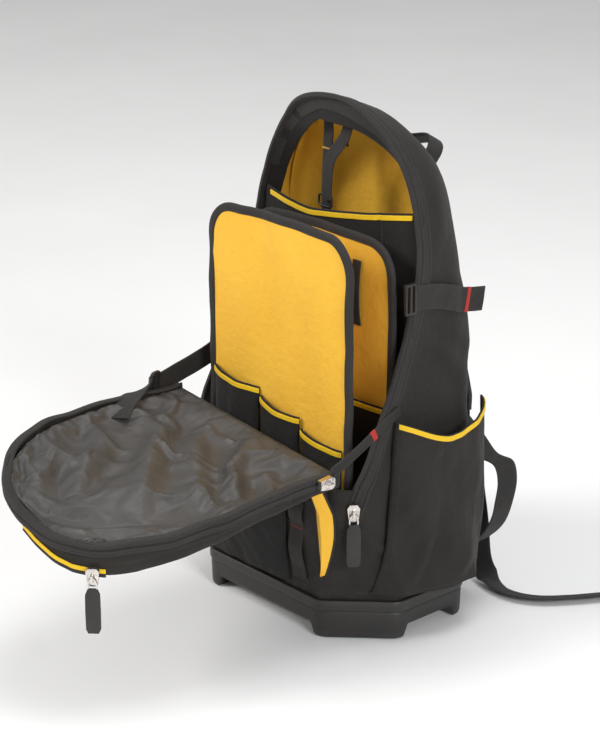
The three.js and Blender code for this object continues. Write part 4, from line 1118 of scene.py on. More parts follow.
@dataclass
class Tray:
    """The moulded tray: an eight-sided boot with a raised band, a groove under it and four feet."""

    half_width: float = 144.5
    half_depth: float = 103.5
    chamfer: float = 58.0
    rim: float = 44.0
    wall: float = 3.2
    foot_height: float = 13.0
    foot_reach: float = 14.0
    foot_depth: float = 36.0
    band_height: float = 12.0
    band_proud: float = 1.4
    bend: float = 8.0

    def outline(self, count: int) -> tuple[Array, Array, Array]:
        """Runs round the eight-sided outline with bent corners.

        Returns:
            Points, outward directions, and the share of a foot under each point.
        """
        w, d, c = self.half_width, self.half_depth, self.chamfer
        corners = np.array([
            (w, -d + c), (w, d - c), (w - c, d), (-w + c, d),
            (-w, d - c), (-w, -d + c), (-w + c, -d), (w - c, -d),
        ])
        line = []
        for k, here in enumerate(corners):
            before, after = corners[k - 1], corners[(k + 1) % 8]
            a, b = here + unit(before - here) * self.bend, here + unit(after - here) * self.bend
            t = np.linspace(0, 1, 10)[:, None]
            line.append((1 - t) ** 2 * a + 2 * t * (1 - t) * here + t**2 * b)
        ring = np.vstack(line)
        ring = resampled(np.vstack([ring, ring[:1]]), count + 1)[:-1]
        way = unit(np.roll(ring, -1, 0) - np.roll(ring, 1, 0))
        out = np.stack([way[:, 1], -way[:, 0]], 1)
        reach_x = np.abs(ring[:, 0]) - (w - c - self.foot_reach)
        reach_y = np.abs(ring[:, 1]) - (d - c - self.foot_reach)
        foot = ease(np.minimum(reach_x, reach_y) / 7.0 + 0.15)
        return ring, out, foot

    def build(self) -> None:
        """Carries the wall's profile round the outline; its foot sinks where a foot stands.

        The profile runs from the inner floor up the inside, over the rim, down the band, in at the groove,
        down the wall, round the lower edge and in under the tray.
        """
        ring, out, foot = self.outline(420)
        top, low = self.rim, self.foot_height
        p, band = self.band_proud, self.rim - self.band_height
        wall, reach = self.wall, self.foot_depth
        # Offset from the outline, height, and how much of the foot's drop the place follows.
        rows = np.array([
            (-110.0, low + 3, 0), (-60.0, low + 3, 0), (-8.0, low + 3, 0), (-wall - 0.8, low + 3.2, 0),
            (-wall, low + 4.5, 0), (-wall, top - 1.2, 0), (-wall + 0.5, top - 0.3, 0), (-wall + 1.2, top, 0),
            (p - 1.4, top, 0), (p - 0.5, top - 0.35, 0), (p, top - 1.3, 0), (p + 0.1, top - 6, 0),
            (p, band + 1.4, 0), (p - 0.5, band + 0.4, 0), (-0.5, band, 0), (-0.9, band - 0.6, 0),
            (-0.9, band - 1.6, 0), (-0.2, band - 2.4, 0), (0.0, band - 3.4, 0), (-0.2, 24.0, 0.1),
            (-0.5, 18.0, 0.5), (-0.9, low + 2.6, 0.86), (-1.6, low + 1.2, 0.93), (-3.2, low + 0.3, 0.98),
            (-5.5, low, 1), (-16.0, low, 1), (-reach + 4, low, 1), (-reach + 1, low + 0.3, 0.96),
            (-reach, low + 0.6, 0.8), (-reach - 0.6, low + 0.3, 0.1), (-reach - 1.5, low, 0),
            (-70.0, low, 0), (-95.0, low, 0),
        ])
        offset = rows[None, :, 0:1]
        near = ring[:, None] + out[:, None] * offset
        under = ring[:, None] + out[:, None] * offset * 0.9
        core = ring[:, None] * np.clip(1 + np.minimum(offset, 0) / 100.0, 0.0, 1)
        far = lerp(ring[:, None] + out[:, None] * -14, core, np.clip((-offset - 14) / 96, 0, 1))
        place = np.where(offset >= -14, near, np.where(offset >= -40, under, far))
        z = rows[None, :, 1] - foot[:, None] * rows[None, :, 2] * self.foot_height
        grid = np.concatenate([place, z[..., None]], 2)
        grid[:, 0, :2] *= 0.02
        grid[:, -1, :2] = grid[:, 0, :2]
        turned = grid_volume(grid, True, True) < 0
        keep = np.ones((grid.shape[0], grid.shape[1]), bool)
        keep[:, -1] = False
        wear_and_highlight_mask = np.zeros(grid.shape[:2])
        # The mask lightens the tone: a painted highlight along the rim's top edge and the band's lower edge
        # (rows 9, 10, 12, 13), and rubbed wear on the feet's lower edges.
        wear_and_highlight_mask[:, [9, 10, 12, 13]] = 0.45
        wear_and_highlight_mask[:, 21:25] = 0.6 * foot[:, None]
        shape = grid_shape(grid, True, True, keep=keep, flip=turned)
        put("tray", shape, RUBBER, ["base_tray"], wear_and_highlight=wear_and_highlight_mask.ravel(), sharp=60)
        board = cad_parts["floor_board"]
        board.data.materials.clear()
        board.data.materials.append(PLASTIC.build())


# The cloth body


@dataclass
class Body:
    """The arched cloth body with its soft folds, seams and the tape round its opening."""

    folds: tuple[Crease, ...] = (
        Crease(((-66, 60), (-52, 84), (-40, 112), (-38, 150)), 6.0, 3.6),
        Crease(((-78, 118), (-64, 106), (-50, 100)), 4.5, 2.6),
        Crease(((-84, 96), (-74, 74), (-66, 56)), 5.0, 2.8),
        Crease(((-30, 54), (-2, 66), (30, 70), (60, 66)), 8.0, 2.6),
        Crease(((-52, 170), (-34, 196), (-8, 210)), 9.0, 2.4),
        Crease(((-6, 318), (24, 300), (52, 268), (66, 240)), 10.0, 2.8),
        Crease(((14, 338), (34, 322), (60, 312)), 8.0, 2.2),
        Crease(((60, 250), (74, 300), (76, 350)), 9.0, 2.0),
        Crease(((8, 380), (30, 420), (34, 470)), 12.0, 2.2),
    )
    sunk: float = 0.4
    edge_gap: float = 5.0
    sill_gap: float = 3.0

    def relief(self, p: Array) -> Array:
        """Gives how far the cloth stands out: slow hollows, puckers near the tray, and the named folds."""
        x, y, z = p[..., 0], p[..., 1], p[..., 2]
        calm = ease((z - 44) / 40) * ease((545 - z) / 60)
        near_edge = np.where(z > BAG.sill - 20, ease((y - BAG.edge_y(z) - 10) / 24), 1.0)
        slow = Ripple(11, 120, 1.5)(p) * calm * near_edge
        fine = Ripple(12, 34, 0.45)(p) * (0.35 + 0.65 * ease((130 - z) / 60))
        tucks = 0.7 * np.abs(np.sin(x * 0.21 + y * 0.24)) * ease((z - 40) / 6) * ease((74 - z) / 26)
        creased = np.zeros(x.shape)
        for fold in self.folds:
            creased += fold(np.where(x > 0, y, y * 0.9 + 5), z) * (np.abs(x) > 80)
        return slow + fine + tucks + creased * near_edge

    def moved(self, offset: float, closed: bool) -> tuple[Array, Array]:
        """Moves the body's surface out by its relief and an offset.

        Args:
            offset: What is added to the relief.
            closed: Leaves the last ring where it closes on the ridge.

        Returns:
            The points, and the middles of the faces between them.
        """
        grid = BAG.surface()
        normal = grid_normals(grid) * (1 if points_out(grid) else -1)
        relief = self.relief(grid)
        relief[-1] = 0
        moved = grid + normal * (relief + offset)[..., None]
        if closed:
            moved[-1] = grid[-1]
        centre = (moved[:-1] + moved[1:]) / 2
        return moved, (centre + np.roll(centre, -1, 1)) / 2

    def build(self) -> None:
        """Builds the wall with its opening, the tape round it and the seam over the tray."""
        moved, centre = self.moved(-self.sunk, True)
        z = centre[..., 2]
        keep = (centre[..., 1] > BAG.edge_y(z) + self.edge_gap) | (z < BAG.sill - self.sill_gap)
        shape = grid_shape(moved, False, True, keep=keep, flip=not points_out(moved))
        wear_and_highlight_mask = ease((60 - shape.points[:, 2]) / 14) * 0.35
        body = put("body_cloth", shape, NYLON, ["body_shell"], wall=BAG.wall, sharp=80, wear_and_highlight=wear_and_highlight_mask)
        weld = body.modifiers.new("ridge", "WELD")
        weld.merge_threshold = 0.0001
        with bpy.context.temp_override(object=body):
            bpy.ops.object.modifier_move_to_index(modifier="ridge", index=0)
        self.tape()
        self.seams()

    def tape(self) -> None:
        """Carries a section with two raised cords along the opening's edge."""
        path = BAG.edge_path(6.0, 420)
        normal = BAG.outward(path)
        tangent = tangents(path)
        across = unit(np.cross(normal, tangent))
        across = across * np.sign(across[:, 1:2] + 1e-9)
        normal = unit(normal - np.sum(normal * tangent, 1, keepdims=True) * tangent)
        section = np.array([
            (-6.8, -1.6), (-6.7, 0.3), (-6.0, 1.5), (-4.9, 2.0), (-3.8, 1.5), (-3.1, 0.4), (-2.6, 0.1),
            (-2.1, 0.7), (-1.2, 1.7), (-0.1, 1.9), (0.9, 1.2), (1.5, 0.4), (2.2, 0.35), (5.0, 0.7),
            (7.6, 0.8), (8.2, 1.6), (9.4, 2.0), (10.6, 1.5), (11.3, 0.4), (11.4, -0.8), (8.0, -2.2),
            (4.0, -3.1), (0.0, -3.2), (-3.0, -3.2), (-5.6, -3.3), (-6.8, -2.6),
        ])
        wander = normal * Ripple(21, 70, 0.5)(path)[:, None] + across * Ripple(22, 90, 0.7)(path)[:, None]
        path = path + wander
        rings = carried(path, across, normal, section)
        put("opening_tape", tube(rings), BINDING, ["opening_zip_tape"], sharp=50)
        stitches("opening_tape_stitches", path, across, normal, 6.2, 0.8)

    def seams(self) -> None:
        """Adds the stitched seam just over the tray."""
        level = BAG.surface(-1.0, 47.0)[0]
        path = resampled(np.vstack([level, level[:1]]), 400)
        middle = path.mean(0)
        out = unit((path - middle) * np.array([1, 1, 0]))
        up = alike(UP, path)
        stitches("tray_seam_stitches", path, up, out, 5.0, -0.3)


# The panels that stand inside


@dataclass
class Divider:
    """A yellow panel across the inside with a folded black binding round it."""

    name: str
    y: float
    top: float
    seed: int
    half: float = 108.0
    low: float = 22.8
    low_half: float = 82.0
    low_rise: float = 48.0
    radius: float = 34.0
    crown: float = 5.0
    thickness: float = 3.0

    def top_at(self, x: Array) -> Array:
        """Gives the top edge's height: a slight crown, then a quarter circle down at each side."""
        a = np.abs(x)
        over = np.clip(a - (self.half - self.radius), 0, self.radius)
        fall = self.radius - np.sqrt(np.maximum(self.radius**2 - over**2, 0))
        return self.top - self.crown * (1 - np.sqrt(np.clip(1 - (a / self.half) ** 2, 0, 1))) * 1.2 - fall

    def billow(self, x: Array, z: Array) -> Array:
        """Gives how far the panel waves: upright swells that grow towards its top."""
        p = np.stack([x * 1.5, np.full(x.shape, self.seed * 40.0), z * 0.45], -1)
        calm = ease((z - 120) / 160) * np.clip(1.1 - np.abs(x) / self.half, 0, 1)
        return Ripple(self.seed, 70, 1.1)(p) * calm

    def build(self) -> None:
        """Builds the panel and its binding."""
        u, v = crossed((-1, 1, 90), (0, 1, 130))
        x = u * (self.half - 2.5)
        splay = np.clip((np.abs(x) - self.low_half) / (self.half - self.low_half), 0, 1)
        bottom = self.low + self.low_rise * splay
        z = lerp(bottom, self.top_at(x) - 2.5, v)
        y = self.y - self.thickness / 2 + self.billow(x, z)
        grid = np.stack([x, y, z], -1)
        open_sheet(f"{self.name}_panel", grid, YELLOW, FRONT, [self.name], wall=self.thickness)
        self.binding()

    def edge(self, offset: float) -> Array:
        """Follows the panel's edge from its right foot, up, round the corner and down the left."""
        w, r = self.half - offset, self.radius - offset
        up = np.stack([np.full(20, w), np.linspace(108, self.top_at(np.array([self.half]))[0], 20)], 1)
        x = w - r + r * np.sin(np.linspace(math.pi / 2, 0, 20))
        arc = np.stack([x, self.top_at(x + offset * (x - w + r) / r) - offset], 1)
        flat = np.linspace(w - r, 0, 20)[1:]
        over = np.stack([flat, self.top_at(flat) - offset], 1)
        right = np.vstack([up[:-1], arc, over])
        return resampled(np.vstack([right, right[:-1][::-1] * np.array([-1, 1])]), 240)

    def binding(self) -> None:
        """Folds a tape over the edge: a rounded section, a little uneven, with a stitched row."""
        flat = self.edge(0.0)
        y = self.y + self.billow(flat[:, 0], flat[:, 1])
        path = np.stack([flat[:, 0], y, flat[:, 1]], 1)
        path = path + Ripple(self.seed + 5, 60, 0.5)(path)[:, None] * np.array([0, 1.0, 0])
        tangent = tangents(path)
        normal = alike(FRONT, path)
        inward = unit(np.cross(normal, tangent))
        middle = np.array([0, self.y, 250])
        inward = inward * np.sign(np.sum(inward * (middle - path), 1, keepdims=True))
        section = np.array([
            (-0.6, 0), (-0.3, 1.7), (0.7, 2.7), (2.2, 3.0), (5.0, 2.9), (7.4, 2.7), (8.2, 2.2), (8.3, 1.5),
            (8.3, -1.5), (8.2, -2.2), (7.4, -2.7), (5.0, -2.9), (2.2, -3.0), (0.7, -2.7), (-0.3, -1.7),
        ])
        rings = carried(path, inward, normal, section)
        rings = rings + np.array([0, 1.0, 0]) * Ripple(self.seed + 9, 22, 0.18)(rings)[..., None]
        put(f"{self.name}_edge", tube(rings), BINDING, [f"{self.name}_binding"], sharp=50)
        stitches(f"{self.name}_edge_stitches", path, inward, normal, 6.6, 3.0)


@dataclass
class PanelPocket:
    """A slack pocket sewn to a panel: flat at its sides and foot, standing out at its mouth."""

    name: str
    x0: float
    x1: float
    low: float
    top0: float
    top1: float
    bulge: float
    face: float
    seed: int
    wall: float = 2.0

    def out(self, u: Array, v: Array) -> Array:
        """Gives how far the cloth stands out of the panel: a power of a sine across, rising to the mouth."""
        return self.bulge * np.sin(np.pi * np.clip(u, 0, 1)) ** 0.7 * lerp(0.25, 1, ease(v * 1.2))

    def build(self) -> None:
        """Builds the pocket and its trim."""
        u, v = crossed((0, 1, 60), (0, 1, 70))
        x = lerp(self.x0, self.x1, u)
        z = lerp(self.low, lerp(self.top0, self.top1, u) + 1.0, v)
        out = self.out(u, v)
        p = np.stack([x, np.full(x.shape, self.face), z * 0.4], -1)
        slack = Ripple(self.seed, 26, 0.9)(p) + 0.3 * Ripple(self.seed + 1, 12, 0.5)(p)
        out = out + slack * np.sin(np.pi * u) * ease(v * 2)
        y = self.face - out - self.wall
        grid = np.stack([x, y, z], -1)
        open_sheet(f"{self.name}_cloth", grid, NYLON_DARK, FRONT, [self.name], wall=self.wall)
        self.trim(f"{self.name}_trim", f"{self.name}_piping")

    def trim(self, name: str, node: str) -> None:
        """Runs the yellow tape along the mouth, just under the black edge."""
        u = np.linspace(0, 1, 60)
        x = lerp(self.x0, self.x1, u)
        z = lerp(self.top0, self.top1, u) - 3.0
        out = self.out(u, np.ones(60))
        p = np.stack([x, np.full(60, self.face), np.full(60, self.top0 * 0.4)], -1)
        out = out + Ripple(self.seed, 26, 0.9)(p) * np.sin(np.pi * u)
        path = np.stack([x, self.face - out - self.wall - 0.75, z], 1)
        upright_tape(name, path, TRIM_WIDTH, TRIM_THICKNESS, TRIM, [node])


@dataclass
class Inside:
    """What stands inside the body: dividers, pockets, linings, facings and the hanging straps."""

    front_y: float = -80.0
    front_top: float = 428.0
    rear_y: float = -22.0
    rear_top: float = 412.0
    lining_depth: float = 3.9
    lining_low: float = 386.0
    lining_gap: float = 9.0
    back_inset: float = 4.6
    hanging_width: float = 14.0
    mouth_rows: tuple[tuple[float, float], ...] = ((-125, 424), (-42, 414), (11, 421), (62, 429), (125, 440))

    def build(self) -> None:
        """Builds everything from front to back."""
        front = Divider("front_divider", self.front_y, self.front_top, 31)
        rear = Divider("rear_divider", self.rear_y, self.rear_top, 37)
        front.build()
        rear.build()
        face = self.front_y - front.thickness / 2 - 0.3
        # Side, left and right edge, the mouth's two heights, and how far the cloth stands out.
        rows = (
            ("left", -98, -27, 246, 239, 9), ("middle", -25, 35, 231, 223, 9),
            ("right", 37, 98, 212, 205, 8),
        )
        for number, (side, x0, x1, top0, top1, bulge) in enumerate(rows):
            name = f"front_divider_pocket_{side}"
            PanelPocket(name, x0, x1, 96, top0, top1, bulge, face, 41 + number).build()
        PanelPocket("rear_divider_pocket", -98, 98, 100, 242, 236, 8, -23.8, 47).build()
        for side, x, top, low in (("left", -58, 398, 330), ("right", 56, 384, 316)):
            stands = ((0, 0.0), (0.3, 2.5), (0.7, 2.5), (1, 0.0))
            points = [(x, -24.8 - out, lerp(top, low, share)) for share, out in stands]
            name, node = f"rear_divider_webbing_{side}", f"rear_loop_{side}"
            band(name, points, RIGHT, 12, 1.6, WEBBING, [node], 40)
        self.rear_pocket()
        self.lining()
        self.walls()
        self.facing()
        self.straps()

    def walls(self) -> None:
        """Lines the upper side walls and the arch in yellow, from the opening's facing to the back."""
        grid, centre = Body().moved(-self.lining_depth, False)
        y, z = centre[..., 1], centre[..., 2]
        keep = (y > BAG.edge_y(z) + self.lining_gap) & (z > self.lining_low)
        shape = grid_shape(grid, False, True, keep=keep, flip=points_out(grid))
        put("upper_wall_lining", shape, YELLOW, wall=0.7)

    def facing(self) -> None:
        """Hangs two wavy strips of black cloth inside the opening's edge, one shorter than the other."""
        path = BAG.edge_path(4.0, 420, inset=3.0)
        normal = BAG.outward(path)
        over = np.clip(normal[:, 2:3], 0, 1)
        way = unit(-normal * lerp(0.3, 1.0, over) + np.array([0, 1.0, 0]) * lerp(1.0, 0.35, over))
        strips = (("facing_outer", 13.0, 24, BINDING), ("facing_inner", 21.0, 27, NYLON_DARK))
        for name, length, seed, finish in strips:
            t = np.linspace(0, 1, 12)[None, :, None]
            reach = length * lerp(0.55, 1.0, over[:, None]) + Ripple(seed, 110, 1.2)(path)[:, None, None]
            grid = path[:, None] + way[:, None] * reach * t
            wave = Ripple(seed + 1, 90, 1.4)(path)[:, None, None] * t
            start = 2.6 if finish is NYLON_DARK else 0.0
            grid = grid - normal[:, None] * (np.abs(wave) + start * t) + np.array([0, 1.0, 0]) * start * t
            flip = facing(grid, (0, -1, -0.2))
            put(name, grid_shape(grid, flip=flip), finish, wall=1.0)

    def mouth(self, x: Array) -> Array:
        """Gives the height of the rear pocket's mouth."""
        rows = np.array(self.mouth_rows)
        z = np.interp(x, rows[:, 0], rows[:, 1])
        soft = [np.interp(x + d, rows[:, 0], rows[:, 1]) for d in (-14, -7, 7, 14)]
        return (z + sum(soft)) / 5

    def pocket_y(self, x: Array, z: Array) -> Array:
        """Gives the depth of the rear pocket's face: a slack bow that grows upwards, with upright folds."""
        across = np.cos(np.clip(np.abs(x) / 112, 0, 1) * math.pi / 2) ** 0.8
        p = np.stack([x, np.zeros(x.shape), z * 0.25], -1)
        slack = Ripple(51, 46, 0.9)(p) * ease((z - 200) / 160) * np.clip(1.15 - np.abs(x) / 112, 0, 1)
        seam = -1.4 * np.exp(-(((x - 66) / 3.0) ** 2)) * ease((z - 180) / 120)
        return 4.0 - 10.0 * across * ease((z - 120) / 260) + slack - seam

    def rear_pocket(self) -> None:
        """Builds the black panel, its trim and the tuck at its right."""
        u, v = crossed((-1, 1, 130), (0, 1, 150))
        level = lerp(64.0, 430.0, v)
        reach = np.minimum(BAG.side_x(np.full(u.shape, 4.0), level, 3.4), 125.0)
        x = u * reach
        z = lerp(64.0, self.mouth(x) + 1.2, v)
        grid = np.stack([x, self.pocket_y(x, z) - 2.0, z], -1)
        open_sheet("rear_pocket_cloth", grid, NYLON_DARK, FRONT, ["rear_pocket"], wall=2.0)
        x = np.linspace(-103, 108, 120)
        z = self.mouth(x) - 3.2
        path = np.stack([x, self.pocket_y(x, z) - 2.8, z], 1)
        node = "rear_pocket_piping"
        upright_tape("rear_pocket_trim", path, TRIM_WIDTH, TRIM_THICKNESS, TRIM, [node])
        z = np.linspace(300, float(self.mouth(np.array([66.0]))[0]) - 6, 60)
        line = np.stack([66 - (z - 420) * 0.06, self.pocket_y(np.full(60, 66.0), z) - 2.1, z], 1)
        stitches("rear_pocket_seam_stitches", line, alike(RIGHT, line), alike(FRONT, line), 1.6, 0.3)

    def lining(self) -> None:
        """Lines the back wall in yellow: each point lies as far back as the body is wide enough for it."""
        u, v = crossed((-1, 1, 110), (0, 1, 130))
        inset = self.back_inset
        z = lerp(60.0, 497.0, v)
        _, _, back, corner, _ = BAG.at(z, inset)
        half = BAG.side_x(back - corner, z, inset) - 1.0
        x = half * np.sin(u * math.pi / 2)
        near, far = back - corner, back
        for _ in range(14):
            middle = (near + far) / 2
            fits = BAG.side_x(middle, z, inset) >= np.abs(x) + 0.5
            near, far = np.where(fits, middle, near), np.where(fits, far, middle)
        y = near
        p = np.stack([x, y, z * 0.6], -1)
        y = y - 0.8 - np.abs(Ripple(55, 60, 1.2)(p))
        open_sheet("back_lining_cloth", np.stack([x, y, z], -1), YELLOW, FRONT, ["back_lining"], wall=1.2)

    def straps(self) -> None:
        """Hangs two straps from the top of the opening, one with a stitched loop and a small glide."""
        y = 9.0
        points = [(-33, y + 9, 522), (-33, y + 8, 490), (-31, y + 4, 440), (-31, y + 3, 398)]
        _, path, _, _ = band(
            "top_strap_left_webbing", points, RIGHT, self.hanging_width, WEBBING_THICKNESS, WEBBING,
            ["top_strap_left"], 60,
        )
        points = [(8, y + 4, 530), (0, y + 1, 496), (-20, y - 1, 468), (-25, y - 1, 440), (-24, y - 2, 424)]
        band(
            "top_strap_right_webbing", points, RIGHT, self.hanging_width, WEBBING_THICKNESS, WEBBING,
            ["top_strap_right"], 60,
        )
        bar, up, out = bar_before(path[22], 7.4, 12)
        for row in (-0.7, 0.0, 0.7):
            name = f"top_strap_bar_tack_{int(row * 10 + 10)}"
            stitches(name, bar, up, out, row, 0.1, YELLOW_THREAD, 2.2, 2.0, 0.3)
        middle = path[48] + np.array([0, -1.5, 0])
        ring = rounded_frame(middle, np.array(RIGHT), np.array(UP), 19.0, 12.0)
        bar_ring("top_strap_glide", ring, 1.3, BACK)


# Pockets outside


@dataclass
class SidePocket:
    """A deep pocket on the side of the body with a dipping mouth and a yellow trim."""

    sign: int
    front_low: float = -66.0
    front_top: float = -42.0
    back: float = 84.0
    top: float = 236.0
    low: float = 52.0
    bulge: float = 28.0

    @property
    def side(self) -> str:
        """Names the side."""
        return "right" if self.sign > 0 else "left"

    def face(self, u: Array, v: Array, lift: float = 0.0) -> Array:
        """Places the cloth: out of the body's side by a rounded bow, fuller at the back and the mouth."""
        front = lerp(self.front_low, self.front_top, v)
        y = lerp(front, self.back, u)
        dip = 22 * np.sin(np.pi * np.clip(u * 0.95, 0, 1)) ** 1.2
        z = lerp(self.low, self.top - dip * ease(v), v)
        rounds = np.clip(1 - np.abs(2 * u - 1) ** 3.5, 0, 1) ** 0.7
        full = lerp(lerp(0.3, 0.92, ease(u * 1.6)), 0.8, ease(v * 1.4))
        base = BAG.side_x(np.minimum(y, 62), z)
        out = rounds * self.bulge * full
        p = np.stack([y * 1.3, z * 0.55, np.full(y.shape, 9.0 * self.sign)], -1)
        slack = Ripple(61 + self.sign, 52, 1.5)(p) + Ripple(63 + self.sign, 20, 0.4)(p)
        for fold in (
            Crease(((-40, 62), (-22, 88), (-16, 122)), 7.0, 2.6),
            Crease(((-52, 120), (-40, 146), (-34, 168)), 6.0, 1.8),
            Crease(((10, 58), (34, 80), (44, 118)), 9.0, 1.9),
            Crease(((62, 60), (56, 92), (66, 126)), 7.0, 1.7),
        ):
            slack = slack + fold(y, z)
        ends = ease(np.minimum(u, 1 - u) * 8)
        return np.stack([self.sign * (base + 0.8 + 2.0 + out + slack * ends + lift), y, z], -1)

    def build(self) -> None:
        """Builds the cloth with its closed foot, and the trim along the mouth."""
        u, v = crossed((0, 1, 110), (0, 1, 120))
        sheet = self.face(u, v)
        foot = sheet[:, :1].copy()
        inner = np.stack([np.full(110, self.sign * 118.0), foot[:, 0, 1], foot[:, 0, 2] + 0.5], -1)[:, None]
        rows = [lerp(inner, foot, t) for t in (0.0, 0.4, 0.8, 0.95)]
        grid = np.concatenate([*rows, sheet], 1)
        flip = float(np.sum(grid_normals(sheet)[..., 0])) * self.sign < 0
        name = f"side_pocket_{self.side}"
        put(f"{name}_cloth", grid_shape(grid, flip=flip), NYLON, [name], wall=2.0, sharp=60)
        u = np.linspace(0.015, 0.985, 110)
        p = self.face(u, np.ones(110))
        way = tangents(p)
        normal = unit(np.stack([self.sign * way[:, 1], -self.sign * way[:, 0], np.zeros(110)], 1))
        normal = normal * np.sign(normal[:, :1] * self.sign + 1e-9)
        path = p + normal * 0.7 + np.array([0, 0, -3.4])
        rings = carried(path, alike(UP, path), normal, flat_section(5.6, 1.5))
        put(f"{name}_trim", tube(rings), TRIM, [f"{name}_piping"])
        self.stitched(u)

    def stitched(self, u: Array) -> None:
        """Sews the pocket's front and lower edges to the body."""
        v = np.linspace(0.02, 0.98, 110)
        p = self.face(np.full(110, 0.035), v)
        up = alike(BACK, p)
        out = alike((float(self.sign), 0, 0), p)
        stitches(f"side_pocket_{self.side}_front_stitches", p, up, out, 0.0, 0.2)
        p = self.face(u, np.full(110, 0.02))
        up = alike(UP, p)
        stitches(f"side_pocket_{self.side}_foot_stitches", p, up, out, 0.0, 0.2)


@dataclass
class FrontPockets:
    """Low on the front: a net pocket, a strip of webbing with loops and the yellow gusset."""

    half_width: float = 92.0
    low: float = 50.0
    top: float = 146.0
    bulge: float = 11.0
    gusset_low: float = 76.0
    gusset_top: float = 176.0
    strip_width: float = 20.0

    def build(self) -> None:
        """Builds the three pieces and their small stitching."""
        u, v = crossed((0, 1, 100), (0, 1, 80))
        x = lerp(-self.half_width, 42.0, u)
        z = lerp(self.low, self.top, v)
        out = self.bulge * np.sin(np.pi * u) ** 0.6 * lerp(0.35, 1, ease(1.3 * v))
        p = np.stack([x, z * 0.5, np.zeros(x.shape)], -1)
        out = out + (Ripple(71, 40, 1.1)(p) + Ripple(72, 15, 0.4)(p)) * np.sin(np.pi * u)
        y = BAG.at(z)[1] - 0.8 - out - 2.0
        grid = np.stack([x, y, z], -1)
        open_sheet("front_net_pocket", grid, NET, FRONT, ["front_mesh_pocket"], wall=1.4)
        edge = grid[:, -1] + np.array([0, -0.4, -3.5])
        upright_tape("front_net_pocket_edge", edge, 9, 1.8, BINDING)
        self.webbing()
        self.gusset()

    def webbing(self) -> None:
        """Sews a strip of webbing down so that it stands off in two loops, with a red bar tack."""
        lift = 1.8
        rows = [(147, 0), (134, 4), (118, 0), (96, 4), (72, 0), (60, 0)]
        points = [(58, float(BAG.at(z)[1]) - lift - out, z) for z, out in rows]
        _, path, _, _ = band(
            "front_webbing_strip", points, RIGHT, self.strip_width, 2.0, WEBBING, ["front_webbing"], 90
        )
        near = int(np.argmin(np.abs(path[:, 2] - 118)))
        stitches("front_webbing_bar_tack", *bar_before(path[near], 9, 10), 0.0, 0.1, RED, 2.4, 2.2, 0.45)

    def gusset(self) -> None:
        """Lets a leaf of yellow lining stand out of the slit beside the pocket, creased down its middle."""
        u, v = crossed((0, 1, 40), (0, 1, 110))
        z = lerp(self.gusset_low, self.gusset_top, v)
        wide = 15 * np.sin(np.pi * lerp(0.03, 0.72, v)) ** 0.9
        x = lerp(96.0, 97.0, v) + lerp(-1.0, 1.0, u) * wide * 0.72 + 3.0 * np.sin(v * 4.4)
        half, front, _, corner, _ = BAG.at(np.minimum(z, 150))
        share = np.clip((half - x) / corner, 0, 1)
        y = front + 0.9 + corner * (1 - np.sqrt(np.maximum(0, 1 - (1 - share) ** 2)))
        fold = 1.6 * np.exp(-(((u - 0.62 + 0.2 * v) / 0.1) ** 2))
        crease = (5.0 + fold) * np.sin(np.pi * u)
        y = y - 3.2 - crease - 0.32 * np.clip(z - 146, 0, 40)
        grid = np.stack([x, y, z], -1)
        open_sheet("front_gusset_cloth", grid, YELLOW, (0.3, -1, 0), ["front_gusset"], wall=1.4)
        rim = np.vstack([grid[-1], grid[0][::-1]])
        rim = resampled(rim, 120)
        tangent = tangents(rim)
        across = unit(np.cross(tangent, np.array([0.3, -1.0, 0])))
        normal = np.cross(tangent, across)
        put("front_gusset_edge", tube(carried(rim, across, normal, flat_section(2.6, 1.8))), BINDING)


# The flap


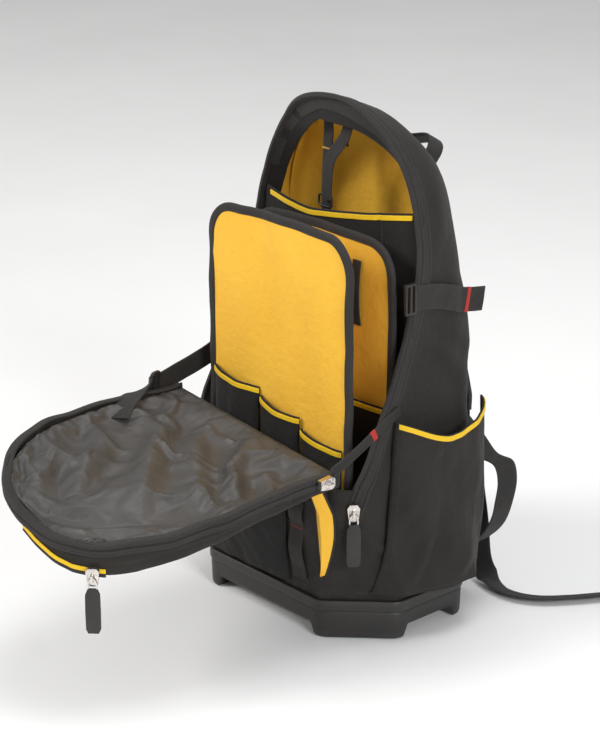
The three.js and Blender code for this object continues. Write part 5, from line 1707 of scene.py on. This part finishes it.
@dataclass
class Flap:
    """The folded-down flap: outer shell, zip tape round its rim, crumpled lining and the lower trim."""

    sag: float = 11.0
    slack: float = 0.07
    flat: tuple[float, float] = (0.262, 0.304)
    lining_inset: float = 6.5
    lift: tuple[float, float] = (-16.0, 6.0)
    frames: int = 20
    folds: tuple[Crease, ...] = (
        Crease(((-70, 60), (-30, 110), (10, 150), (60, 190)), 12.0, 5.0),
        Crease(((-40, 40), (0, 84), (50, 116), (96, 128)), 11.0, 5.0),
        Crease(((20, 30), (44, 70), (88, 96)), 9.0, 4.5),
        Crease(((-90, 110), (-50, 170), (0, 226)), 13.0, 4.0),
        Crease(((-20, 120), (-60, 190), (-56, 230)), 10.0, 4.0),
        Crease(((64, 40), (90, 60), (104, 100)), 8.0, 4.0),
    )

    def swell(self, p: Array) -> Array:
        """Gives how far the wall waves at points."""
        return Ripple(81, 64, 1.3)(p * np.array([1, 1, 1.6])) + Ripple(82, 24, 0.35)(p)

    def shell_grid(self) -> Array:
        """Works out sections across the flap from root to tip: down one wall, under, and up the other."""
        u = np.concatenate([np.linspace(0, 0.12, 30)[:-1], 0.12 + 0.38 * np.linspace(0, 1, 110) ** 0.9])
        u[-1] = 0.49999
        # Shares of the depth down the wall, and how far each place is drawn in.
        shares = np.array([
            0, 0.08, 0.16, 0.24, 0.32, 0.4, 0.48, 0.56, 0.64,
            0.72, 0.8, 0.87, 0.93, 0.97, 1.0, 1.02, 1.03, 1.03,
        ])
        insets = np.array([0, 0, 0, 0, 0, 0, 0, 0.05, 0.2, 0.45, 0.8, 1.3, 2.0, 3.0, 4.6, 6.8, 9.0, 11.0])
        rings = []
        for side in (u, 1 - u):
            uu, ss = np.meshgrid(side, shares, indexing="ij")
            x, along, way = FLAP.outline(uu, np.broadcast_to(insets, uu.shape))
            depth = FLAP.depth(uu) * ss
            p = FLAP.point(x, along, depth)
            swell = self.swell(p)
            seam = 1.3 * np.exp(-(((ss - 0.5) / 0.045) ** 2)) - 1.0 * np.exp(-(((ss - 0.6) / 0.05) ** 2))
            out = np.stack([way[..., 0], -way[..., 1], np.zeros(uu.shape)], -1)
            calm = ease(ss * 4) * ease((uu if side is u else 1 - uu) * 20)
            rings.append(p + out * ((swell + seam) * calm)[..., None])
        right, left = rings
        t = np.linspace(0, 1, 70)[None, 1:-1, None]
        under = lerp(right[:, -1:], left[:, -1:], t)
        wide = np.clip(np.linalg.norm(right[:, -1] - left[:, -1], axis=1) / 90, 0, 1)[:, None]
        belly = 3.0 * np.sin(np.pi * t[..., 0]) * wide
        p = under.copy()
        under[..., 2] -= belly + 0.8 * np.abs(Ripple(84, 70, 1.0)(p)) * np.sin(np.pi * t[..., 0])
        return np.concatenate([right, under, left[:, ::-1]], 1)

    def build(self) -> None:
        """Builds the flap's pieces."""
        grid = self.shell_grid()
        middle = grid.shape[1] // 2
        flip = float(np.sum(grid_normals(grid)[:, middle, 2])) > 0
        shape = grid_shape(grid, flip=flip)
        put("flap_cloth", shape, NYLON, ["flap_shell"], wall=2.5, sharp=80)
        self.zip_tape()
        self.lining()
        self.trim()
        self.hinge()

    def zip_tape(self) -> None:
        """Runs a ridged tape round the rim: two cords and a flat selvedge."""
        ends = np.linspace(0.008, 0.1, 30)[:-1], np.linspace(0.9, 0.992, 30)[1:]
        u = np.concatenate([ends[0], np.linspace(0.1, 0.9, 260), ends[1]])
        path, normal = FLAP.wall(u, 4.5, 0.6)
        path = path + normal * self.swell(path)[:, None] * 0.8
        path[:, 2] += Ripple(87, 75, 1.2)(path)
        tangent = tangents(path)
        across = alike(UP, path)
        across = unit(across - np.sum(across * tangent, 1, keepdims=True) * tangent)
        section = np.array([
            (-7.6, -0.9), (-7.5, 0.5), (-6.6, 1.0), (-4.4, 1.0), (-3.6, 1.6), (-2.6, 2.6), (-1.4, 2.7),
            (-0.5, 1.8), (0.2, 1.2), (1.0, 1.8), (2.0, 2.9), (3.6, 3.1), (4.9, 2.4), (5.7, 1.0), (6.0, -0.8),
            (5.7, -2.4), (6.1, -4.0), (5.6, -6.0), (4.4, -6.6), (3.6, -5.4), (2.4, -3.2), (0.0, -1.6),
            (-4.0, -1.4),
        ])
        rings = carried(path, across, normal, section)
        put("flap_rim_tape", tube(rings), BINDING, ["flap_zip_tape"], sharp=50)
        stitches("flap_rim_stitches", path, across, normal, -5.6, 1.05)

    def lining(self) -> None:
        inset = self.lining_inset
        u, v = crossed((-1, 1, 100), (0, 1, 100))
        along = (FLAP.length - inset) * lerp(0.012, 0.99, np.sin(v * math.pi / 2))
        x = u * FLAP.half_at(along, inset)
        held = ease((1 - np.abs(u)) * 7) * ease((1 - v) * 6) * ease(v * 14)
        start = np.zeros(x.shape)
        for fold in self.folds:
            start += fold(x, along)
        start += Crumple(91, 90, 2.2, 2)(np.stack([x, along, np.zeros(x.shape)], -1))
        dish = self.sag * (1 - np.abs(u) ** 4) * ease(v * 8) * ease((1 - v) * 5)
        dip = np.exp(-(((x - 96) / 26) ** 2) - ((along - 70) / 70) ** 2) * 9.0
        flat = FLAP.point(x, along, 3.0)
        grid = FLAP.point(x, along, 3.0 + (dish * 0.55 + dip - start) * held)
        grid = settled(grid, self.slack, self.frames)
        lift = np.clip(grid[..., 2] - flat[..., 2], *self.lift)
        grid = np.concatenate([grid[..., :2], (flat[..., 2] + lift)[..., None]], -1)
        flip = facing(grid, (0, 0, 1))
        shape = grid_shape(grid, flip=flip)
        piece = put("flap_lining_cloth", shape, LINING, ["flap_lining"], wall=0.8, sharp=75)
        a = np.cross(grid[1:, :-1] - grid[:-1, :-1], grid[:-1, 1:] - grid[:-1, :-1])
        b = np.cross(grid[:-1, 1:] - grid[1:, 1:], grid[1:, :-1] - grid[1:, 1:])
        area = float(np.sum(np.linalg.norm(a, axis=-1) + np.linalg.norm(b, axis=-1)) / 2) * 1e-6
        width, length = self.flat
        log.info("lining area %.4f square metres of %.4f", area, width * length)
        area = min(area, width * length)

    def trim(self) -> None:
        """Runs the yellow trim and the pocket zip's tape along the lower edge on the tip's right."""
        u = np.linspace(0.345, 0.5, 120)
        path, normal = FLAP.wall(u, FLAP.depth(u) * 0.8, 0.5)
        path = path + normal * self.swell(path)[:, None]
        up = alike(UP, path)
        rings = carried(path, up, normal, flat_section(4.6, 1.6))
        put("flap_lower_trim", tube(rings), TRIM, ["flap_piping"])
        low = path + np.array([0, 0, -4.2]) - normal * 0.6
        section = np.array([
            (-2.0, -1), (-2.0, 0.5), (-1.0, 0.9), (-0.5, 1.5), (0.5, 1.5), (1.0, 0.9), (2.0, 0.6), (2.0, -1),
        ])
        put("flap_pocket_zip_tape", tube(carried(low, up, normal, section)), BINDING)

    def hinge(self) -> None:
        """Joins the flap's root to the body's front: up the front, then forward under the root."""
        u, v = crossed((0, 1, 70), (0, 1, 60))
        x = lerp(-100.0, 100.0, u)
        right, left = FLAP.depth(0.0), FLAP.depth(1.0)
        depth = 1.03 * lerp(right, left, (FLAP.half - x) / (2 * FLAP.half))
        top = FLAP.point(x, 12.0, depth)[..., 2] - 0.6
        front = float(BAG.at(152.0)[1])
        ys = np.array([front - 0.9, front - 0.9, FLAP.root - 0.7, FLAP.root - 8, FLAP.root - 26])
        at = v * 4
        y = np.interp(at, np.arange(5), ys)
        zs = [np.full(x.shape, 151.0), lerp(151.0, top, 0.6), top - 1.2, top, top + 0.2]
        index = np.minimum(at.astype(int), 3)
        lower = np.choose(index, zs[:4])
        upper = np.choose(index, zs[1:])
        z = lerp(lower, upper, at - index)
        p = np.stack([x, y, z], -1)
        y = y - 0.5 * np.abs(Ripple(97, 40, 1.0)(p)) * ease(v * 3) * ease((1 - v) * 3)
        grid = np.stack([x, y, z], -1)
        open_sheet("flap_hinge_cloth", grid, NYLON_DARK, (0, -1, -0.6), ["flap_hinge"], wall=1.6)


# Zips


class ZipPart(Enum):
    """Parts of a zip's pull, with the finish of each and the size of its rounded edges."""

    SLIDER = ("slider", NICKEL, 0.7)
    LINK = ("link", NICKEL, 0.45)
    PULLER = ("puller", RUBBER, 0.9)


@dataclass
class Zips:
    """The sliders, links and rubber pullers, rounded from their hard solids."""

    def build(self) -> None:
        """Rounds each part and lets the links and pullers ride on their own bodies."""
        for zip_name in ("main_zip", "pocket_zip"):
            for part in ZipPart:
                label, finish, bevel = part.value
                body = PACK if part is ZipPart.SLIDER else f"{zip_name}_puller_body"
                softened(f"{zip_name}_{label}_round", f"{zip_name}_{label}", finish, bevel, body=body)
        softened("flap_zip_slider_round", "flap_zip_slider", NICKEL, 0.7)


# Webbing outside


@dataclass
class SideStraps:
    """The compression straps with their ladder buckles, and the flap's stays."""

    lift: float = 1.9
    band_width: float = 26.0
    stay_width: float = 23.0
    cord_width: float = 11.0

    def on_side(self, sign: int, y: float, z: float, lift: float) -> tuple[float, float, float]:
        """Gives a place that stands off the body's side by a lift."""
        return (sign * (float(BAG.side_x(y, z)) + lift), y, z)

    def build(self) -> None:
        """Builds both sides and the stays."""
        for side, sign in (("right", 1), ("left", -1)):
            path = [(-12, 358), (4, 356), (24, 352), (44, 346), (58, 341)]
            points = [self.on_side(sign, y, z, self.lift) for y, z in path] + [(sign * 124, 88, 336)]
            name, node = f"compression_band_{side}", f"compression_strap_{side}"
            _, *ways = band(name, points, UP, self.band_width, 2.0, WEBBING, [node], 110, 0.5, 101)
            softened(f"compression_buckle_{side}", f"compression_ring_{side}", PLASTIC, 0.7)
            self.tag(f"{name}_stripe", *(way[82:88] for way in ways), self.band_width + 0.6, 3.8)
        self.left_stay()
        thin = [
            (128.1, -124, 203), (131, -98, 216), (131.5, -66, 233),
            self.on_side(1, -48, 241, self.lift), self.on_side(1, -34, 246, self.lift),
        ]
        _, *ways = band(
            "flap_stay_right_cord", thin, UP, self.cord_width, 1.6, WEBBING, ["flap_stay_right"], 80, 0.3, 111
        )
        self.tag("flap_stay_right_tag", *(way[44:50] for way in ways), self.cord_width + 0.6, 2.3)

    def left_stay(self) -> None:
        """Runs the left stay from the flap's lining over its rim to the body, through a bar buckle."""
        stay = [
            (-103, -210, 216), (-109, -200, 221.5), (-116, -186, 227), (-122, -170, 229.5),
            (-127, -152, 229), (-130, -130, 230), (-130, -104, 235), (-129.5, -76, 243), (-128.6, -42, 256),
        ]
        turn = ease((np.linspace(0, 1, 150)[:, None] - 0.12) / 0.4)
        hint = lerp(np.array([1.0, 0, -0.1]), np.array([0.0, 0, 1.0]), turn)
        _, line, across, normal = band(
            "flap_stay_left_webbing", stay, hint, self.stay_width, WEBBING_THICKNESS, WEBBING,
            ["flap_stay_left"], 150, 0.5, 107,
        )
        out = normal * np.sign(normal[:, :1] + normal[:, 2:] + 1e-9)
        tangent = tangents(line)
        at = 62
        frame_path = rounded_frame(line[at] + out[at] * 0.6, across[at], tangent[at], 30.0, 12.0)
        bar_ring("flap_stay_buckle", frame_path, 2.0, out[at], PLASTIC, ["flap_stay_glide"])
        bar = [line[at] + across[at] * k + out[at] * 2.6 for k in (-13.5, -5, 5, 13.5)]
        band("flap_stay_buckle_bar", bar, tangent[at], 6.5, 2.6, PLASTIC, (), 12, 0.0)
        doubled = (line - out * 2.4 + np.array([0, 0, -2.0]))[at - 4 : at + 36 : 8]
        width = self.stay_width - 1
        band("flap_stay_left_end", doubled, UP, width, WEBBING_THICKNESS, WEBBING, (), 50, 0.4, 109)

    @staticmethod
    def tag(name: str, line: Array, across: Array, normal: Array, width: float, thickness: float) -> None:
        """Wraps a short red sleeve round a strap."""
        dense = resampled(np.hstack([line, across, normal]), 8)
        rings = carried(dense[:, :3], unit(dense[:, 3:6]), unit(dense[:, 6:]), flat_section(width, thickness))
        put(name, tube(rings), RED)


# The wearer's side


@dataclass
class WearerSide:
    """The back pad, the shoulder straps, their lower webbing with its free end, and the carry handle."""

    pad_half: float = 92.0
    pad_low: float = 62.0
    pad_top: float = 470.0
    pad_thickness: float = 9.0
    strap_width: float = 54.0
    strap_thickness: float = 10.0
    webbing_width: float = 24.0
    channels: tuple[float, ...] = (150.0, 240.0, 330.0, 410.0)

    def build(self) -> None:
        """Builds the pieces of the back."""
        self.handle()
        self.pad()
        for side, sign in (("right", 1), ("left", -1)):
            self.shoulder(side, sign)
        self.tail()

    def back_y(self, z: Array | float) -> Array:
        """Gives the depth of the body's back at a height."""
        return BAG.at(z)[2]

    def handle(self) -> None:
        """Bows a doubled strap of webbing behind the top."""
        rows = [
            (57, 66, 464), (57, 80, 480), (46, 91, 487), (0, 95, 480),
            (-46, 91, 487), (-57, 80, 480), (-57, 66, 464),
        ]
        _, path, across, normal = band(
            "carry_handle_webbing", rows, (0, 1, -0.6), 22, 3.4, WEBBING, ["carry_handle"], 140, 0.3, 121
        )
        sewn = [way[12:-12] for way in (path, across, normal)]
        for edge, label in ((-8.4, "a"), (8.4, "b")):
            stitches(f"carry_handle_stitches_{label}", *sewn, edge, 1.75)

    def pad(self) -> None:
        """Crowns the back pad between its rim and sewn channels.

        Each point's thickness is a power of its distance to the rim, pinched by a bell along every channel.
        """
        u, v = crossed((0, 1, 110), (0, 1, 190))
        z = lerp(self.pad_low, self.pad_top - 12, v)
        _, _, back, corner, _ = BAG.at(z)
        half = np.minimum(self.pad_half, BAG.side_x(back - corner, z) - corner - 4)
        x = lerp(-1.0, 1.0, u) * half
        rim = np.clip(np.minimum(5 * np.minimum(u, 1 - u), 9 * np.minimum(v, 1 - v)), 0, 1)
        crown = (self.pad_thickness + 1.2) * rim**0.55
        bells = (np.exp(-(((z - level) / 3.0) ** 2)) for level in self.channels)
        pinch = np.exp(-((x / 3.2) ** 2)) + sum(bells)
        crown = crown * (1 - 0.62 * np.clip(pinch, 0, 1))
        y = back + 0.9 + crown
        outer = np.stack([x, y, z], -1)
        inner = np.stack([x, back + 0.7, z], -1)
        grid = np.concatenate([outer, inner[:, ::-1]], 1)
        turned = grid_volume(grid, False, True) < 0
        shape = grid_shape(grid, False, True, flip=turned)
        piece = put("back_pad_air_mesh", shape, AIR_MESH, ["back_pad"], sharp=80)
        for k, level in enumerate(self.channels):
            x = np.linspace(-80, 80, 80)
            zz = np.full(80, level)
            line = np.stack([x, self.back_y(zz) + 4.4, zz], 1)
            stitches(f"back_pad_stitches_{k}", line, alike(UP, line), alike(BACK, line), 0.0, 0.4)

    def shoulder(self, side: str, sign: int) -> None:
        """Builds a padded shoulder strap, its binding, and the webbing loop below it."""
        lift = self.pad_thickness + 3.2 + self.strap_thickness / 2
        rows = [(30, 436, -4.2), (30, 404, 0.5), (36, 330, 8), (46, 268, 9), (58, 218, 6), (67, 186, 3)]
        points = [(sign * x, float(self.back_y(z)) + lift + out, z) for x, z, out in rows]
        path = smooth_path(points, 150)
        across, normal = path_frame(path, np.array([1.0, 0, 0]))
        w, h = self.strap_width / 2, self.strap_thickness / 2
        angle = np.arange(36) / 36 * 2 * math.pi
        c, s = np.cos(angle), np.sin(angle)
        flat = np.stack([w * np.sign(c) * np.abs(c) ** 0.45, h * np.sign(s) * np.abs(s) ** 0.75], 1)
        share = np.linspace(0, 1, 150)
        ends = np.clip(np.minimum(share, 1 - share) * 22, 0.25, 1) ** 0.5
        taper = np.where(share > 0.9, lerp(1, 0.8, ease((share - 0.9) / 0.1)), 1.0)
        puff = 1 - 0.22 * np.exp(-(((share[:, None] * 7) % 1 - 0.5) / 0.09) ** 2)
        section = np.stack([flat[None, :, 0] * taper[:, None], flat[None, :, 1] * (ends[:, None] * puff)], -1)
        rings = carried(path, across, normal, section)
        piece = put(f"shoulder_strap_{side}_pad", tube(rings), AIR_MESH, [f"shoulder_strap_{side}"], sharp=70)
        for edge, label in ((-1, "a"), (1, "b")):
            line = path + across * (edge * (w - 0.5) * taper[:, None])
            ring = carried(line, across, normal, flat_section(3.6, 5.6))
            put(f"shoulder_strap_{side}_binding_{label}", tube(ring[3:-3]), BINDING)
        end = path[-1]
        loop = [
            (sign * 66, end[1] + 4, 184.2), (sign * 96, end[1] + 4, 164), (sign * 122, 104, 158),
            (sign * 148, 101, 157), (sign * 154, 100, 140), (sign * 152, 99, 114), (sign * 143, 98, 88),
            (sign * 127, 97, 68), (sign * 110, 92, 54),
        ]
        t = np.linspace(0, 1, 150)[:, None]
        hint = np.hstack([0.5 * sign * (1 - t), np.ones((150, 1)), np.zeros((150, 1))])
        name, node = f"lower_webbing_{side}_loop", f"lower_webbing_{side}"
        band(name, loop, hint, self.webbing_width, WEBBING_THICKNESS, WEBBING, [node], 150, 0.4, 131)

    def tail(self) -> None:
        """Lets the strap's free end fall and run out along the floor."""
        rows = [
            (86, 114, 161.2), (89, 119, 120), (95, 123, 70), (102, 122, 28), (112, 121, 9), (134, 116, 4.2),
            (156, 117, 4.0), (178, 129, 4.0), (200, 156, 4.0), (217, 184, 4.0), (232, 212, 4.0),
        ]
        t = np.linspace(0, 1, 190)
        turn = ease((t - 0.4) / 0.2)[:, None]
        hint = lerp(np.array([1.0, 0.2, 0]), np.array([-0.5, 1.0, -0.3]), turn)
        band(
            "strap_tail_right_webbing", rows, hint, self.webbing_width, WEBBING_THICKNESS, WEBBING,
            ["strap_tail_right"], 190, 0.0, 141,
        )


# The stage


@dataclass
class Studio:
    """The camera at the photographed angle, the pale floor and the soft lights."""

    azimuth: float = 48.1
    elevation: float = 20.2
    distance: float = 2300.0
    lens: float = 105.26
    target: tuple[float, float, float] = (-25.8, -28.7, 240.1)
    surroundings: float = 0.42
    # Name, place in metres, size, power and tint of each light.
    lights: tuple[tuple[str, tuple[float, float, float], float, float, tuple[float, float, float]], ...] = (
        ("key_light", (-1.6, -2.6, 2.4), 1.3, 84.0, (1.0, 0.98, 0.95)),
        ("side_light", (2.9, -0.7, 1.5), 1.0, 52.0, (0.97, 0.98, 1.0)),
        ("top_light", (0.2, 0.5, 3.2), 1.5, 42.0, (1.0, 1.0, 1.0)),
    )

    def camera(self) -> None:
        """Places the camera by its angles round the target."""
        data = bpy.data.cameras.new("camera")
        data.lens = self.lens
        data.sensor_width = 36.0
        camera = bpy.data.objects.new("camera", data)
        bpy.context.scene.collection.objects.link(camera)
        a, e = math.radians(self.azimuth), math.radians(self.elevation)
        back = np.array([math.sin(a) * math.cos(e), -math.cos(a) * math.cos(e), math.sin(e)])
        place = (np.array(self.target) + back * self.distance) * MM + TRAY_CENTRE
        camera.location = Vector(place)
        camera.rotation_mode = "QUATERNION"
        camera.rotation_quaternion = Vector(-back).to_track_quat("-Z", "Y")
        data.clip_start, data.clip_end = 0.05, 60.0
        bpy.context.scene.camera = camera

    def light(
        self, name: str, place: tuple[float, float, float], size: float, watts: float,
        tint: tuple[float, float, float],
    ) -> None:
        """Adds a soft square light that looks at the bag's middle."""
        data = bpy.data.lights.new(name, "AREA")
        data.size = size
        data.energy = watts
        data.color = tint
        lamp = bpy.data.objects.new(name, data)
        bpy.context.scene.collection.objects.link(lamp)
        lamp.location = Vector(place)
        lamp.rotation_mode = "QUATERNION"
        aim = Vector(tuple(TRAY_CENTRE + np.array([0, 0, 0.24]))) - Vector(place)
        lamp.rotation_quaternion = aim.to_track_quat("-Z", "Y")

    def floor(self) -> None:
        """Lays a wide, flat, pale floor."""
        material, tree, shader = blank_material("pale_floor")
        place = tree.node("ShaderNodeTexCoord").outputs["Object"]
        tone = tree.range(tree.noise(place, 3.0, 2.0), 0.3, 0.7, 0.0, 1.0)
        tree.feed(shader.inputs["Base Color"], tree.mix(tone, (0.86, 0.86, 0.86, 1), (0.89, 0.89, 0.89, 1)))
        shader.inputs["Roughness"].default_value = 0.9
        size = 14.0
        u = np.linspace(-size, size, 24)
        grid = np.stack(np.broadcast_arrays(u[:, None], u[None, :], np.zeros((24, 24))), -1)
        mesh = bpy.data.meshes.new("floor")
        index = np.arange(24 * 24).reshape(24, 24)
        quads = np.stack([index[:-1, :-1], index[1:, :-1], index[1:, 1:], index[:-1, 1:]], -1).reshape(-1, 4)
        mesh.from_pydata(grid.reshape(-1, 3).tolist(), [], quads.tolist())
        mesh.materials.append(material)
        floor = bpy.data.objects.new("floor", mesh)
        bpy.context.scene.collection.objects.link(floor)

    def build(self) -> None:
        """Sets the camera, the floor, the lights and the even surroundings."""
        self.camera()
        self.floor()
        for row in self.lights:
            self.light(*row)
        bpy.context.scene.view_settings.view_transform = "Standard"
        world = bpy.data.worlds.new("surroundings")
        bpy.context.scene.world = world
        world.use_nodes = True
        even = world.node_tree.nodes["Background"]
        even.inputs[0].default_value = (1.0, 1.0, 1.0, 1)
        even.inputs[1].default_value = self.surroundings


def main() -> None:
    logging.basicConfig(level=logging.INFO, format="%(message)s")
    Studio().build()
    Tray().build()
    Body().build()
    Inside().build()
    for sign in (1, -1):
        SidePocket(sign).build()
    FrontPockets().build()
    Flap().build()
    Zips().build()
    SideStraps().build()
    WearerSide().build()


if __name__ == "__main__":
    main()
